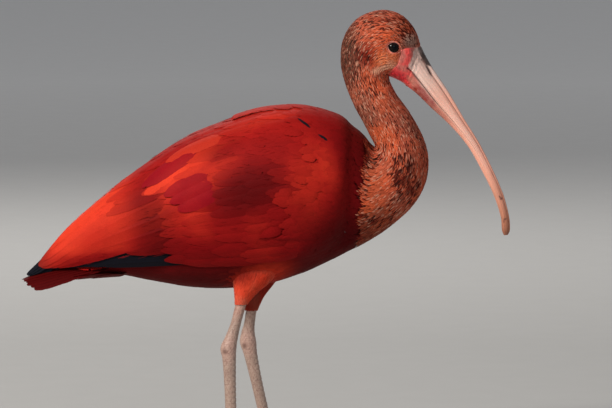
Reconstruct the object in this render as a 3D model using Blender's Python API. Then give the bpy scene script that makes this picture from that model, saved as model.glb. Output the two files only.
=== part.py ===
"""Life-size scarlet ibis, standing on both feet with its neck drawn back and its wings folded.

The bird faces +X, its left side is +Y and the floor is z = 0. Lengths in the tables are millimetres.
The body is a chain of ribs: each rib is an ellipse between a point on the back and a point on the
belly side, both in the bird's middle plane, with a half width to each side.
"""

import math
import random

import bmesh
import bpy
from mathutils import Matrix, Vector

MM = 0.001
GAP = 0.35
LEFT, RIGHT = 1, -1
SIDE_NAMES = {LEFT: "left", RIGHT: "right"}

# Ribs from the tail root to the bill: back x, back z, belly x, belly z, half width.
TORSO_RIBS = [
    (-106.6, 161.9, -106.6, 141.6, 11.0),
    (-85.0, 185.0, -83.5, 137.6, 22.0),
    (-56.2, 215.4, -54.7, 132.8, 33.0),
    (-27.4, 238.5, -25.9, 132.0, 39.0),
    (1.4, 255.0, 1.4, 135.2, 41.5),
    (26.6, 258.4, 25.2, 142.4, 41.0),
    (49.7, 256.6, 44.6, 151.1, 36.6),
    (65.5, 247.0, 58.3, 157.9, 31.0),
]
NECK_RIBS = [
    (75.6, 235.3, 72.0, 165.0, 27.8),
    (77.8, 233.5, 87.8, 175.2, 25.5),
    (78.5, 233.8, 105.1, 190.8, 23.5),
    (78.5, 235.3, 114.5, 207.4, 21.5),
    (77.4, 237.4, 116.6, 224.8, 19.5),
    (74.9, 242.1, 112.7, 240.7, 17.5),
    (69.8, 251.9, 103.0, 258.4, 15.5),
    (63.4, 263.8, 93.6, 271.4, 14.5),
]
HEAD_RIBS = [
    (56.9, 280.4, 88.6, 281.2, 14.5),
    (54.0, 295.6, 88.9, 284.1, 15.6),
    (56.2, 312.2, 90.0, 283.7, 16.6),
    (66.2, 326.0, 92.2, 283.0, 17.2),
    (82.8, 331.8, 94.3, 281.9, 16.8),
    (97.2, 328.2, 96.5, 280.8, 14.6),
    (106.6, 318.0, 98.3, 279.7, 11.6),
    (110.9, 306.1, 100.1, 278.3, 8.2),
]
BODY_RIBS = TORSO_RIBS + NECK_RIBS + HEAD_RIBS
TORSO_END = 7.7
NECK_MIDDLE = 13.5
HEAD_START = 15.6
HEAD_END = float(len(BODY_RIBS) - 1)
CUT_STEP = 0.03
TORSO_STEPS, TORSO_SIDES = 18, 22
SHARP_ANGLE = 40

# Outer form of the folded wings, in the same kind of rib, from the shoulders to the wing tips. Each
# rib ends with the angle of the wing's lower edge, in degrees from the back.
WING_RIBS = [
    (61.9, 247.9, 56.9, 169.1, 33.0, 118.0),
    (51.8, 256.6, 46.1, 154.7, 41.5, 134.0),
    (24.5, 263.5, 22.3, 141.7, 47.0, 140.0),
    (-4.3, 261.3, -4.3, 135.2, 48.5, 142.0),
    (-33.1, 252.3, -33.1, 133.0, 46.5, 140.0),
    (-61.9, 240.0, -60.5, 133.7, 41.0, 138.0),
    (-90.7, 220.5, -88.6, 135.2, 33.0, 134.0),
    (-119.5, 198.8, -117.4, 136.6, 24.0, 126.0),
    (-144.7, 176.0, -143.3, 138.0, 15.0, 116.0),
    (-162.7, 155.4, -162.0, 138.0, 8.5, 112.0),
    (-174.2, 143.4, -174.2, 137.3, 3.5, 110.0),
]
WING_TOP_ANGLE = 2.0
# The slab that the wing's feathers root in: where it runs, how deep it lies under the outer form and
# how thick it is, how fast it thins to its ends, and how its rim is thinned and lowered.
WING_CORE = {"start": 0.45, "end": 5.5, "drop": 2.6, "thickness": 7.5, "front": 0.9, "rear": 1.2,
             "rim": 0.3, "rim_drop": 1.6}
# A folded wing's feathers lie in columns, from the back to the lower edge, which all its tiers share.
COLUMN_ANGLES = (8.0, 21.5, 35.0, 48.5, 62.0, 75.5, 89.0, 102.5, 116.0, 128.5)
FLIGHT_TIPS = (9.35, 9.2, 9.05, 8.9, 8.75, 8.55, 8.2, 7.5, 6.8, 6.2)
# Tiers: name, columns, place of the roots and tips along the wing ribs, height over the outer form.
# A tier with no tips of its own ends at FLIGHT_TIPS.
WING_TIERS = [
    ("flight", range(0, 10), 3.7, None, -1.7),
    ("long_scapular", range(0, 4), 2.7, 5.9, -0.85),
    ("greater_covert", range(4, 10), 2.7, 5.0, -0.85),
    ("short_scapular", range(0, 4), 0.9, 3.9, 0.0),
    ("median_covert", range(4, 10), 1.3, 3.5, 0.0),
]
FEATHER_HALF_WIDTH = 8.0
# Primaries, which show below the secondaries: root and tip along the wing ribs, and their angles.
PRIMARIES = [(4.9, 9.6, 108.0, 94.0), (4.9, 9.4, 115.0, 110.0), (4.9, 9.0, 123.0, 121.0)]
PRIMARY_HALF_WIDTH = 5.6
PRIMARY_HEIGHT = -2.7
# Outline of a vane: share of its length, share of its half width.
VANE_SHAPES = {
    "flight": [(0.0, 0.55), (0.3, 0.95), (0.6, 1.0), (0.86, 0.72), (1.0, 0.12)],
    "covert": [(0.0, 0.6), (0.3, 0.92), (0.78, 0.84), (1.0, 0.15)],
}
VANE_THICKNESS = 0.55
VANE_TILT = 5.5
ROOT_SHARE = 0.25
ROOT_DEPTH = -3.3
TIP_SPREAD = 0.06
FEATHER_SEED = 11

# Tail: twelve feathers stacked like a low roof, the middle pair on top. Each droops to its tip.
TAIL_PAIRS = 6
TAIL_MIDDLE = {"root": (-110.0, 0.9, 151.4), "tip": (-175.7, 2.4, 148.8), "droop": 12.0}
TAIL_OUTER = {"root": (-110.0, 6.0, 142.8), "tip": (-166.0, 14.3, 141.0), "droop": 8.5}
DROOP_POWER = 2.5
TAIL_HALF_WIDTH = 6.5
TAIL_TILT = -22.0
TAIL_ROOT_RINGS = [  # x, top z, bottom z, half width
    (-107.0, 161.0, 141.6, 10.6), (-114.0, 156.6, 139.6, 9.8), (-121.0, 152.6, 139.4, 7.8),
    (-126.0, 149.6, 141.6, 4.0),
]
TAIL_COVERTS = {  # count, root, tip, sideways reach of the tips, how far a root is off its vane
    "upper": (3, (-109.0, 155.6), (-135.0, 152.6), 5.0, -2.0),
    "under": (5, (-109.0, 141.4), (-146.0, 136.2), 8.0, 2.0),
}
TAIL_COVERT_HALF_WIDTH = 5.6
TAIL_ROOM_RINGS = [  # x, top z, bottom z, half width: the room that the wings leave for the tail
    (-100.0, 164.0, 124.0, 14.0), (-112.0, 160.0, 124.0, 14.5), (-124.0, 156.0, 124.0, 15.5),
    (-138.0, 152.6, 124.0, 17.0), (-152.0, 147.6, 122.0, 19.0), (-165.0, 143.2, 120.0, 21.0),
    (-180.0, 137.6, 118.0, 23.0),
]

# Bill ribs: culmen x and z, lower edge x and z, half width, share of the depth in the upper half.
BILL_RIBS = [
    (111.2, 305.8, 100.4, 278.0, 8.0, 0.62),
    (119.2, 291.3, 108.0, 272.1, 6.4, 0.64),
    (130.8, 273.9, 118.4, 262.0, 5.0, 0.68),
    (142.2, 254.4, 132.8, 248.6, 4.2, 0.66),
    (153.6, 236.0, 145.8, 233.1, 3.6, 0.62),
    (164.0, 215.4, 156.6, 213.9, 3.2, 0.60),
    (170.9, 199.1, 164.2, 198.0, 3.0, 0.58),
    (174.9, 184.2, 168.9, 183.6, 2.8, 0.56),
    (175.7, 174.2, 169.9, 173.5, 2.4, 0.55),
    (174.2, 170.0, 171.4, 169.8, 1.1, 0.55),
]
# Half outline of each half of the bill, from its middle line: share of half width, share of height.
UPPER_BILL_OUTLINE = [
    (0.0, 1.0), (0.3, 0.95), (0.5, 0.82), (0.47, 0.7), (0.78, 0.52), (0.97, 0.24), (1.0, 0.0),
]
LOWER_BILL_OUTLINE = [(0.96, 1.0), (0.9, 0.62), (0.68, 0.26), (0.32, 0.04), (0.0, 0.0)]
NOSTRIL = {"place": (117.6, 4.1, 294.6), "size": (7.0, 2.2, 1.3), "slope": 62.0}

# Eye: its place on the head in body ribs and degrees from the back, and how far it stands out.
EYE_PLACE = (20.36, 88.5)
EYE_RADIUS = 5.0
EYE_BULGE = 0.9
LID_RADII = (4.9, 4.2)
LID_THICKNESS = 1.1
LID_HEIGHT = 3.6

# Legs: the right foot stands back and the left foot forward. Each path runs downwards.
LEG_Y = {"thigh": 16.0, "ankle": 18.0, "foot": 20.0}
THIGH_RINGS = {  # x, z, half length, half width
    RIGHT: [(-6.0, 158.0, 22.0, 9.0), (-9.5, 140.0, 14.5, 10.0), (-14.5, 129.5, 8.0, 7.0),
            (-17.8, 121.5, 4.4, 4.0)],
    LEFT: [(-2.0, 158.0, 22.0, 9.0), (-5.0, 138.0, 14.0, 10.0), (-8.8, 124.0, 7.4, 6.6),
           (-10.8, 113.5, 4.4, 4.0)],
}
SHANK_RINGS = {
    RIGHT: [(-18.0, 121.1, 3.5, 3.1), (-21.5, 108.0, 3.4, 3.0), (-24.6, 98.0, 4.2, 3.6)],
    LEFT: [(-10.9, 113.1, 3.5, 3.1), (-12.2, 104.0, 3.6, 3.1), (-13.2, 98.0, 4.3, 3.6)],
}
TARSUS_RINGS = {
    RIGHT: [(-24.8, 97.6, 4.3, 3.7), (-26.9, 90.0, 5.4, 4.4), (-26.3, 81.0, 4.5, 3.7),
            (-25.6, 60.0, 3.8, 3.1), (-24.8, 34.0, 3.7, 3.0), (-23.9, 14.0, 3.9, 3.4),
            (-23.4, 7.2, 4.3, 4.3)],
    LEFT: [(-13.3, 97.6, 4.4, 3.7), (-13.2, 90.0, 5.6, 4.4), (-11.4, 81.0, 4.6, 3.7),
           (-6.8, 60.0, 3.8, 3.1), (-0.9, 34.0, 3.7, 3.0), (3.6, 14.0, 3.9, 3.4),
           (5.2, 7.2, 4.3, 4.3)],
}
FOOT_X = {RIGHT: -23.0, LEFT: 5.8}
FOOT_HALF = 5.0
FOOT_TOP = 6.8
# Toes: name, direction from straight ahead (positive is outwards), length, root radius, tip radius.
TOES = [
    ("middle", 2.0, 56.0, 2.9, 1.9),
    ("inner", -34.0, 42.0, 2.7, 1.8),
    ("outer", 36.0, 46.0, 2.7, 1.8),
    ("hind", 168.0, 21.0, 2.4, 1.7),
]
TOE_KNUCKLES = 3
CLAW_LENGTH = 6.5
# A claw's thickness at its tip, its height at its root, its drop to the tip and its width, all as
# shares of the radius at its root.
CLAW_TIP, CLAW_HEIGHT, CLAW_DROP, CLAW_FLATNESS = 0.18, 1.35, 0.55, 0.8
WEB_REACH = 15.0
WEB_HEIGHTS = (0.5, 1.5)

SCARLET = (0.62, 0.018, 0.012, 1.0)
SALMON = (0.55, 0.12, 0.07, 1.0)
BILL_PINK = (0.56, 0.27, 0.22, 1.0)
LEG_PINK = (0.50, 0.30, 0.26, 1.0)
EYE_BLACK = (0.006, 0.006, 0.008, 1.0)
CLAW_HORN = (0.05, 0.035, 0.03, 1.0)


def clear_scene():
    for thing in list(bpy.data.objects):
        bpy.data.objects.remove(thing)


def collection(name):
    made = bpy.data.collections.new(name)
    bpy.context.scene.collection.children.link(made)
    return made


def material(name, colour, roughness):
    made = bpy.data.materials.new(name)
    made.use_nodes = True
    shader = made.node_tree.nodes["Principled BSDF"]
    shader.inputs["Base Color"].default_value = colour
    shader.inputs["Roughness"].default_value = roughness
    made.diffuse_color = colour
    return made


def spline_row(rows, t):
    """The row at t along the table, by a smooth spline through its rows."""
    last = len(rows) - 1
    start = min(max(int(t), 0), last - 1)
    u = t - start
    picked = [rows[min(max(start + k, 0), last)] for k in (-1, 0, 1, 2)]
    return [
        b + 0.5 * u * (c - a + u * (2 * a - 5 * b + 4 * c - d + u * (3 * (b - c) + d - a)))
        for a, b, c, d in zip(*picked)
    ]


def rib_point(row, angle, grow=0.0):
    """Point on a rib, in mm: angle 0 is the back, 90 the left side and 180 the belly, in degrees."""
    back_x, back_z, belly_x, belly_z, half = row[:5]
    centre = Vector(((back_x + belly_x) / 2, 0, (back_z + belly_z) / 2))
    up = Vector(((back_x - belly_x) / 2, 0, (back_z - belly_z) / 2))
    up *= 1 + grow / up.length
    turn = math.radians(angle)
    return centre + up * math.cos(turn) + Vector((0, (half + grow) * math.sin(turn), 0))


def mixed(start, end, share):
    return start + (end - start) * share


def steps(start, end, count):
    return [mixed(start, end, i / count) for i in range(count + 1)]


def mesh_object(name, points, faces, where, mirror=False):
    """A closed mesh object from points in mm, with its faces turned outwards."""
    data = bpy.data.meshes.new(name)
    flip = -1 if mirror else 1
    data.from_pydata([(p[0] * MM, p[1] * MM * flip, p[2] * MM) for p in points], [], faces)
    work = bmesh.new()
    work.from_mesh(data)
    bmesh.ops.recalc_face_normals(work, faces=work.faces)
    work.to_mesh(data)
    work.free()
    thing = bpy.data.objects.new(name, data)
    where.objects.link(thing)
    return thing


def loft(name, rings, where, mirror=False, closed=False):
    """A tube through rings of equal count: capped flat at both ends, or closed on itself."""
    sides, count = len(rings[0]), len(rings)
    points = [p for ring in rings for p in ring]
    faces = [
        (r * sides + k, r * sides + (k + 1) % sides,
         (r + 1) % count * sides + (k + 1) % sides, (r + 1) % count * sides + k)
        for r in range(count if closed else count - 1)
        for k in range(sides)
    ]
    if not closed:
        faces.append(tuple(range(sides)))
        faces.append(tuple(range(len(points) - sides, len(points))))
    return mesh_object(name, points, faces, where, mirror)


def body_rings(start, end, count, sides, grow=0.0):
    angles = [360 * k / sides for k in range(sides)]
    return [
        [rib_point(spline_row(BODY_RIBS, t), a, grow) for a in angles]
        for t in steps(start, end, count)
    ]


def largest_surface(thing):
    """Keeps only the closed surface that holds the largest volume."""
    work = bmesh.new()
    work.from_mesh(thing.data)
    left = set(work.faces)
    shells = []
    while left:
        shell, edge = set(), [left.pop()]
        while edge:
            face = edge.pop()
            shell.add(face)
            for near in {f for e in face.edges for f in e.link_faces} & left:
                left.discard(near)
                edge.append(near)
        shells.append(shell)

    def volume(shell):
        corners = [[v.co for v in f.verts] for f in shell]
        return sum(
            c[0].dot(c[i].cross(c[i + 1])) for c in corners for i in range(1, len(c) - 1)
        )

    shells.sort(key=volume)
    loose = [f for shell in shells[:-1] for f in shell]
    bmesh.ops.delete(work, geom=loose, context="FACES")
    work.to_mesh(thing.data)
    work.free()


def apply_boolean(thing, operation, others):
    """Joins or cuts thing with the objects in others, which are then removed."""
    group = bpy.data.collections.new("boolean_operands")
    bpy.context.scene.collection.children.link(group)
    for other in others:
        for old in list(other.users_collection):
            old.objects.unlink(other)
        group.objects.link(other)
    step = thing.modifiers.new(operation, "BOOLEAN")
    step.operation = operation
    step.solver = "MANIFOLD"
    step.operand_type = "COLLECTION"
    step.collection = group
    graph = bpy.context.evaluated_depsgraph_get()
    made = bpy.data.meshes.new_from_object(thing.evaluated_get(graph))
    thing.modifiers.clear()
    thing.data = made
    for other in others:
        bpy.data.objects.remove(other)
    bpy.data.collections.remove(group)
    largest_surface(thing)
    return thing


def finish(thing, finish_material):
    thing.data.materials.clear()
    thing.data.materials.append(finish_material)
    thing.data.shade_smooth()
    thing.data.set_sharp_from_angle(angle=math.radians(SHARP_ANGLE))


def ellipsoid(name, centre, size, where, pitch=0.0):
    """An ellipsoid with the given half sizes in mm, turned nose down by pitch degrees."""
    data = bpy.data.meshes.new(name)
    work = bmesh.new()
    bmesh.ops.create_uvsphere(work, u_segments=14, v_segments=9, radius=1.0)
    scale = Matrix.Diagonal([*(s * MM for s in size), 1.0])
    turn = Matrix.Rotation(math.radians(pitch), 4, "Y")
    bmesh.ops.transform(
        work, matrix=Matrix.Translation([c * MM for c in centre]) @ turn @ scale, verts=work.verts
    )
    work.to_mesh(data)
    work.free()
    thing = bpy.data.objects.new(name, data)
    where.objects.link(thing)
    return thing


def limb_rings(rows, y_start, y_end, count, sides):
    """Level rings down a limb: rows of x, z, half length and half width, drifting in y."""
    top, bottom = rows[0][1], rows[-1][1]
    rings = []
    for t in steps(0, len(rows) - 1, count):
        x, z, half_x, half_y = spline_row(rows, t)
        y = y_start + (y_end - y_start) * (top - z) / (top - bottom)
        rings.append([
            (x + half_x * math.cos(2 * math.pi * k / sides),
             y + half_y * math.sin(2 * math.pi * k / sides), z)
            for k in range(sides)
        ])
    return rings


def torso_cutter(where):
    """The torso grown by the gap, with the same facets, and carried on a little into the neck."""
    count = TORSO_STEPS + 1
    end = TORSO_END * count / TORSO_STEPS
    return loft("torso_clearance", body_rings(0, end, count, TORSO_SIDES, GAP), where)


def make_torso(where, feathers):
    torso = loft("torso", body_rings(0, TORSO_END, TORSO_STEPS, TORSO_SIDES), where)
    finish(torso, feathers)


def make_neck(where, feathers):
    lower = loft("neck_lower", body_rings(TORSO_END + CUT_STEP, NECK_MIDDLE, 14, 20), where)
    upper = loft("neck_upper", body_rings(NECK_MIDDLE + CUT_STEP, HEAD_START, 5, 20), where)
    finish(lower, feathers)
    finish(upper, feathers)


def eye_frame():
    """Centre of the left eye in mm, the way it looks out, and the way forward across its opening."""
    t, angle = EYE_PLACE
    here = rib_point(spline_row(BODY_RIBS, t), angle)
    ahead = rib_point(spline_row(BODY_RIBS, t + 0.05), angle) - here
    below = rib_point(spline_row(BODY_RIBS, t), angle + 2) - here
    out = ahead.cross(below).normalized()
    if out.y < 0:
        out = -out
    forward = (Vector((1, 0, 0)) - out * out.x).normalized()
    return here - out * (EYE_RADIUS - EYE_BULGE), out, forward


def lid_ring(name, side, where):
    """A low rim round the eye, laid on the side of the head."""
    around, across = 16, 6
    centre, out, forward = eye_frame()
    upward = forward.cross(out)
    rings = []
    for i in range(around):
        turn = 2 * math.pi * i / around
        ring = []
        for k in range(across):
            tube = 2 * math.pi * k / across
            reach = 1 + LID_THICKNESS * math.cos(tube) / LID_RADII[0]
            height = LID_HEIGHT + LID_THICKNESS * math.sin(tube)
            ring.append(centre + out * height + forward * (LID_RADII[0] * reach * math.cos(turn))
                        + upward * (LID_RADII[1] * reach * math.sin(turn)))
        rings.append(ring)
    return loft(name, rings, where, side == RIGHT, True)


def make_head(where, feathers, eye_finish):
    head = loft("head", body_rings(HEAD_START + CUT_STEP, HEAD_END, 19, 24), where)
    apply_boolean(head, "UNION", [lid_ring(f"lid_{n}", s, where) for s, n in SIDE_NAMES.items()])
    socket = EYE_RADIUS + GAP
    eye = eye_frame()[0]
    places = {n: (eye.x, s * eye.y, eye.z) for s, n in SIDE_NAMES.items()}
    sockets = [ellipsoid(f"socket_{n}", p, (socket,) * 3, where) for n, p in places.items()]
    apply_boolean(head, "DIFFERENCE", sockets)
    finish(head, feathers)
    for n, p in places.items():
        finish(ellipsoid(f"eye_{n}", p, (EYE_RADIUS,) * 3, where), eye_finish)


def bill_ring(row, outline, low, high):
    """A closed ring of half the bill: heights run from low to high, as shares of its depth."""
    culmen = Vector((row[0], 0, row[1]))
    edge = Vector((row[2], 0, row[3]))
    half = row[4]
    left = [
        edge + (culmen - edge) * (low + (high - low) * h) + Vector((0, half * w, 0))
        for w, h in outline
    ]
    right = [Vector((p.x, -p.y, p.z)) for p in left if p.y > 1e-6]
    return left + right[::-1]


def make_bill(where, horn):
    count = 2 * (len(BILL_RIBS) - 1)
    uppers, lowers = [], []
    for t in steps(0, len(BILL_RIBS) - 1, count):
        row = spline_row(BILL_RIBS, t)
        depth = math.hypot(row[0] - row[2], row[1] - row[3])
        split = 1 - row[5]
        uppers.append(bill_ring(row, UPPER_BILL_OUTLINE, split, 1.0))
        lowers.append(bill_ring(row, LOWER_BILL_OUTLINE, 0.0, split - GAP / depth))
    upper = loft("bill_upper", uppers, where)
    x, y, z = NOSTRIL["place"]
    slits = [
        ellipsoid(f"nostril_{n}", (x, s * y, z), NOSTRIL["size"], where, NOSTRIL["slope"])
        for s, n in SIDE_NAMES.items()
    ]
    apply_boolean(upper, "DIFFERENCE", slits)
    finish(upper, horn)
    finish(loft("bill_lower", lowers, where), horn)


def thigh(side, where, grow=0.0):
    rows = [(x, z, a + grow, b + grow) for x, z, a, b in THIGH_RINGS[side]]
    name = f"thigh_{SIDE_NAMES[side]}"
    rings = limb_rings(rows, LEG_Y["thigh"], LEG_Y["thigh"] + 0.8, 9, 14)
    return loft(name if not grow else f"{name}_clearance", rings, where, side == RIGHT)


def toe_rings(origin, direction, length, root, tip):
    """Rings along a toe that lies on the floor: knuckles swell it and its sole is cut flat."""
    ahead = Vector((math.cos(direction), math.sin(direction), 0))
    across = Vector((-ahead.y, ahead.x, 0))
    sides = 8
    rings = []
    for u in steps(0, 1, 2 * TOE_KNUCKLES):
        swell = 1 + 0.09 * math.cos(2 * math.pi * TOE_KNUCKLES * u)
        radius = mixed(root, tip, u) * swell
        centre = origin + ahead * (length * u) + Vector((0, 0, radius * 0.82))
        ring = []
        for k in range(sides):
            turn = 2 * math.pi * (k + 0.5) / sides
            p = centre + across * (radius * math.cos(turn)) + Vector((0, 0, radius * math.sin(turn)))
            p.z = max(p.z, 0.0)
            ring.append(p)
        rings.append(ring)
    return rings


def claw_rings(origin, direction, radius):
    """Rings along a claw that curves down towards the floor and ends just above it."""
    ahead = Vector((math.cos(direction), math.sin(direction), 0))
    across = Vector((-ahead.y, ahead.x, 0))
    sides = 6
    rings = []
    for u in steps(0, 1, 4):
        thick = radius * mixed(1.0, CLAW_TIP, u)
        height = radius * (CLAW_HEIGHT - CLAW_DROP * u * u)
        centre = origin + ahead * (CLAW_LENGTH * u) + Vector((0, 0, height))
        rings.append([
            centre + across * (CLAW_FLATNESS * thick * math.cos(2 * math.pi * k / sides))
            + Vector((0, 0, thick * math.sin(2 * math.pi * k / sides)))
            for k in range(sides)
        ])
    return rings


def web_points(origin, first, second):
    """A low web between two toes, as a prism with a pulled-in front edge."""
    def at(direction, reach):
        return origin + Vector((math.cos(direction), math.sin(direction), 0)) * reach

    middle = (first + second) / 2
    outline = [at(first, 1.0), at(first, WEB_REACH), at(middle, WEB_REACH * 0.62),
               at(second, WEB_REACH), at(second, 1.0)]
    return [[(p.x, p.y, h) for p in outline] for h in WEB_HEIGHTS]


def make_foot(side, where, skin, claw_finish):
    name = SIDE_NAMES[side]
    mirror = side == RIGHT
    origin = Vector((FOOT_X[side], LEG_Y["foot"], 0))
    sides = 14
    pad_rings = []
    for height, reach in ((0.0, 0.8), (2.0, 1.0), (4.6, 0.94), (FOOT_TOP, 0.84)):
        half = FOOT_HALF * reach
        pad_rings.append([
            (origin.x + half * math.cos(2 * math.pi * k / sides),
             origin.y + half * math.sin(2 * math.pi * k / sides), height)
            for k in range(sides)
        ])
    foot = loft(f"foot_{name}", pad_rings, where, mirror)
    pieces = []
    directions = {}
    for toe, degrees, length, root, tip in TOES:
        turn = math.radians(degrees)
        directions[toe] = turn
        rings = toe_rings(origin, turn, length, root, tip)
        pieces.append(loft(f"toe_{toe}_{name}", rings, where, mirror))
        reach = length + GAP
        start = origin + Vector((math.cos(turn), math.sin(turn), 0)) * reach
        claw = loft(f"claw_{toe}_{name}", claw_rings(start, turn, tip * 0.72), where, mirror)
        finish(claw, claw_finish)
    for neighbour in ("inner", "outer"):
        rings = web_points(origin, directions["middle"], directions[neighbour])
        pieces.append(loft(f"web_{neighbour}_{name}", rings, where, mirror))
    apply_boolean(foot, "UNION", pieces)
    finish(foot, skin)


def make_leg(side, where, cutters, feathers, skin, claw_finish):
    name = SIDE_NAMES[side]
    mirror = side == RIGHT
    upper = thigh(side, where)
    apply_boolean(upper, "DIFFERENCE", [torso_cutter(cutters)])
    finish(upper, feathers)
    knee_y = LEG_Y["thigh"] + 0.8
    shank = limb_rings(SHANK_RINGS[side], knee_y, LEG_Y["ankle"], 5, 12)
    finish(loft(f"shank_{name}", shank, where, mirror), skin)
    tarsus = limb_rings(TARSUS_RINGS[side], LEG_Y["ankle"], LEG_Y["foot"], 16, 12)
    finish(loft(f"tarsus_{name}", tarsus, where, mirror), skin)
    make_foot(side, where, skin, claw_finish)


def wing_frame(s, angle, lift):
    """A point over the outer form of the wing, the outward normal and the way to the belly."""
    here = rib_point(spline_row(WING_RIBS, s), angle)
    along = rib_point(spline_row(WING_RIBS, s + 0.05), angle) - here
    belly = rib_point(spline_row(WING_RIBS, s), angle + 2) - here
    normal = belly.cross(along).normalized()
    return here + normal * lift, normal, belly.normalized()


def vane(name, frames, half_width, shape, where, mirror, tilt):
    """A feather's vane: frames give a point, normal and side direction at each station of its shape.

    It is tilted about its shaft so that it lies over the next vane, and both of its faces are split
    into the same triangles.
    """
    points, faces = [], []
    lean = math.radians(tilt)
    for (point, normal, side), (_, share) in zip(frames, shape):
        across = (side * math.cos(lean) + normal * math.sin(lean)) * half_width * share
        down = normal * VANE_THICKNESS
        points += [point - across, point + across, point + across - down, point - across - down]
    for i in range(len(shape) - 1):
        a, b = 4 * i, 4 * (i + 1)
        faces += [(a, a + 1, b + 1), (a, b + 1, b)]
        faces += [(a + 3, b + 2, a + 2), (a + 3, b + 3, b + 2)]
        faces += [(a + 1, a + 2, b + 2, b + 1), (a + 3, a, b, b + 3)]
    last = 4 * (len(shape) - 1)
    faces += [(0, 1, 2, 3), (last, last + 1, last + 2, last + 3)]
    return mesh_object(name, points, faces, where, mirror)


def risen(share):
    """How far a vane has risen from its root, from 0 to 1, at a share of its length."""
    rise = min(1.0, share / ROOT_SHARE)
    return rise * rise * (3 - 2 * rise)


def wing_vane(name, span, angles, half_width, height, shape, side, where):
    """A feather of the wing, from its root in the core out to its tip."""
    frames = []
    for u, _ in VANE_SHAPES[shape]:
        lift = mixed(ROOT_DEPTH, height, risen(u))
        frames.append(wing_frame(mixed(*span, u), mixed(*angles, u), lift))
    return vane(name, frames, half_width, VANE_SHAPES[shape], where, side == RIGHT, VANE_TILT)


def wing_feathers(side, where):
    """All vanes of one folded wing, tier by tier."""
    dice = random.Random(FEATHER_SEED)
    made = []
    for k, (root, tip, root_angle, tip_angle) in enumerate(PRIMARIES):
        made.append(wing_vane(f"primary_{k}", (root, tip), (root_angle, tip_angle),
                              PRIMARY_HALF_WIDTH, PRIMARY_HEIGHT, "flight", side, where))
    for name, columns, root, tip, height in WING_TIERS:
        shape = "covert" if tip else "flight"
        for k in columns:
            end = (tip or FLIGHT_TIPS[k]) + dice.uniform(-TIP_SPREAD, TIP_SPREAD)
            made.append(wing_vane(f"{name}_{k}", (root, end), (COLUMN_ANGLES[k],) * 2,
                                  FEATHER_HALF_WIDTH, height, shape, side, where))
    return made


def wing_core(name, side, where):
    """The slab under the feathers, from the shoulder back over the flank, thinner at its rim."""
    rings = []
    first, last = WING_CORE["start"], WING_CORE["end"]
    drop, rim = WING_CORE["drop"], WING_CORE["rim"]
    across = 8
    for s in steps(first, last, 12):
        row = spline_row(WING_RIBS, s)
        end = min(1.0, (s - first) / WING_CORE["front"], (last - s) / WING_CORE["rear"])
        end_share = mixed(rim, 1.0, math.sqrt(max(0.0, end)))
        outer, inner = [], []
        for u in steps(0, 1, across):
            angle = mixed(WING_TOP_ANGLE, row[5], u)
            share = min(1.0, 4 * u + rim, 4 * (1 - u) + rim) * end_share
            outer.append(rib_point(row, angle, -drop - WING_CORE["rim_drop"] * (1 - share)))
            inner.append(rib_point(row, angle, -drop - WING_CORE["thickness"] * share))
        rings.append(outer + inner[::-1])
    return loft(name, rings, where, side == RIGHT)


def far_side(side, where):
    """A block over the other half of the bird, which keeps the two wings apart."""
    data = bpy.data.meshes.new("far_side")
    work = bmesh.new()
    reach = 200.0
    bmesh.ops.create_cube(work, size=2 * reach * MM)
    place = Vector((0, -side * (reach - GAP / 2), reach)) * MM
    bmesh.ops.translate(work, vec=place, verts=work.verts)
    work.to_mesh(data)
    work.free()
    block = bpy.data.objects.new("far_side", data)
    where.objects.link(block)
    return block


def tail_room(where):
    return loft("tail_room", level_rings(TAIL_ROOM_RINGS, 12), where)


def make_wing(side, where, cutters, feathers):
    """One folded wing: its core and its tiers of feathers, laid on the side of the body."""
    wing = wing_core(f"wing_{SIDE_NAMES[side]}", side, where)
    apply_boolean(wing, "UNION", wing_feathers(side, cutters))
    room = [torso_cutter(cutters), thigh(side, cutters, GAP), tail_room(cutters),
            far_side(side, cutters)]
    for cutter in room:
        apply_boolean(wing, "DIFFERENCE", [cutter])
    finish(wing, feathers)


def level_rings(rows, sides):
    """Upright elliptical rings across the bird's middle plane: rows of x, top, bottom, half width."""
    turns = [2 * math.pi * k / sides for k in range(sides)]
    return [
        [(x, half * math.sin(t), (top + bottom) / 2 + (top - bottom) / 2 * math.cos(t))
         for t in turns]
        for x, top, bottom, half in rows
    ]


def tail_vane(name, root, tip, half_width, shape, sink, droop, where, mirror, tilt):
    """A feather that runs back from root to tip; sink moves its root off its own line."""
    frames = []
    for u, _ in VANE_SHAPES[shape]:
        height = sink * (1 - risen(u)) - droop * u ** DROOP_POWER
        point = Vector(root).lerp(Vector(tip), u) + Vector((0, 0, height))
        frames.append((point, Vector((0, 0, 1)), Vector((0, 1, 0))))
    return vane(name, frames, half_width, VANE_SHAPES[shape], where, mirror, tilt)


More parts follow.
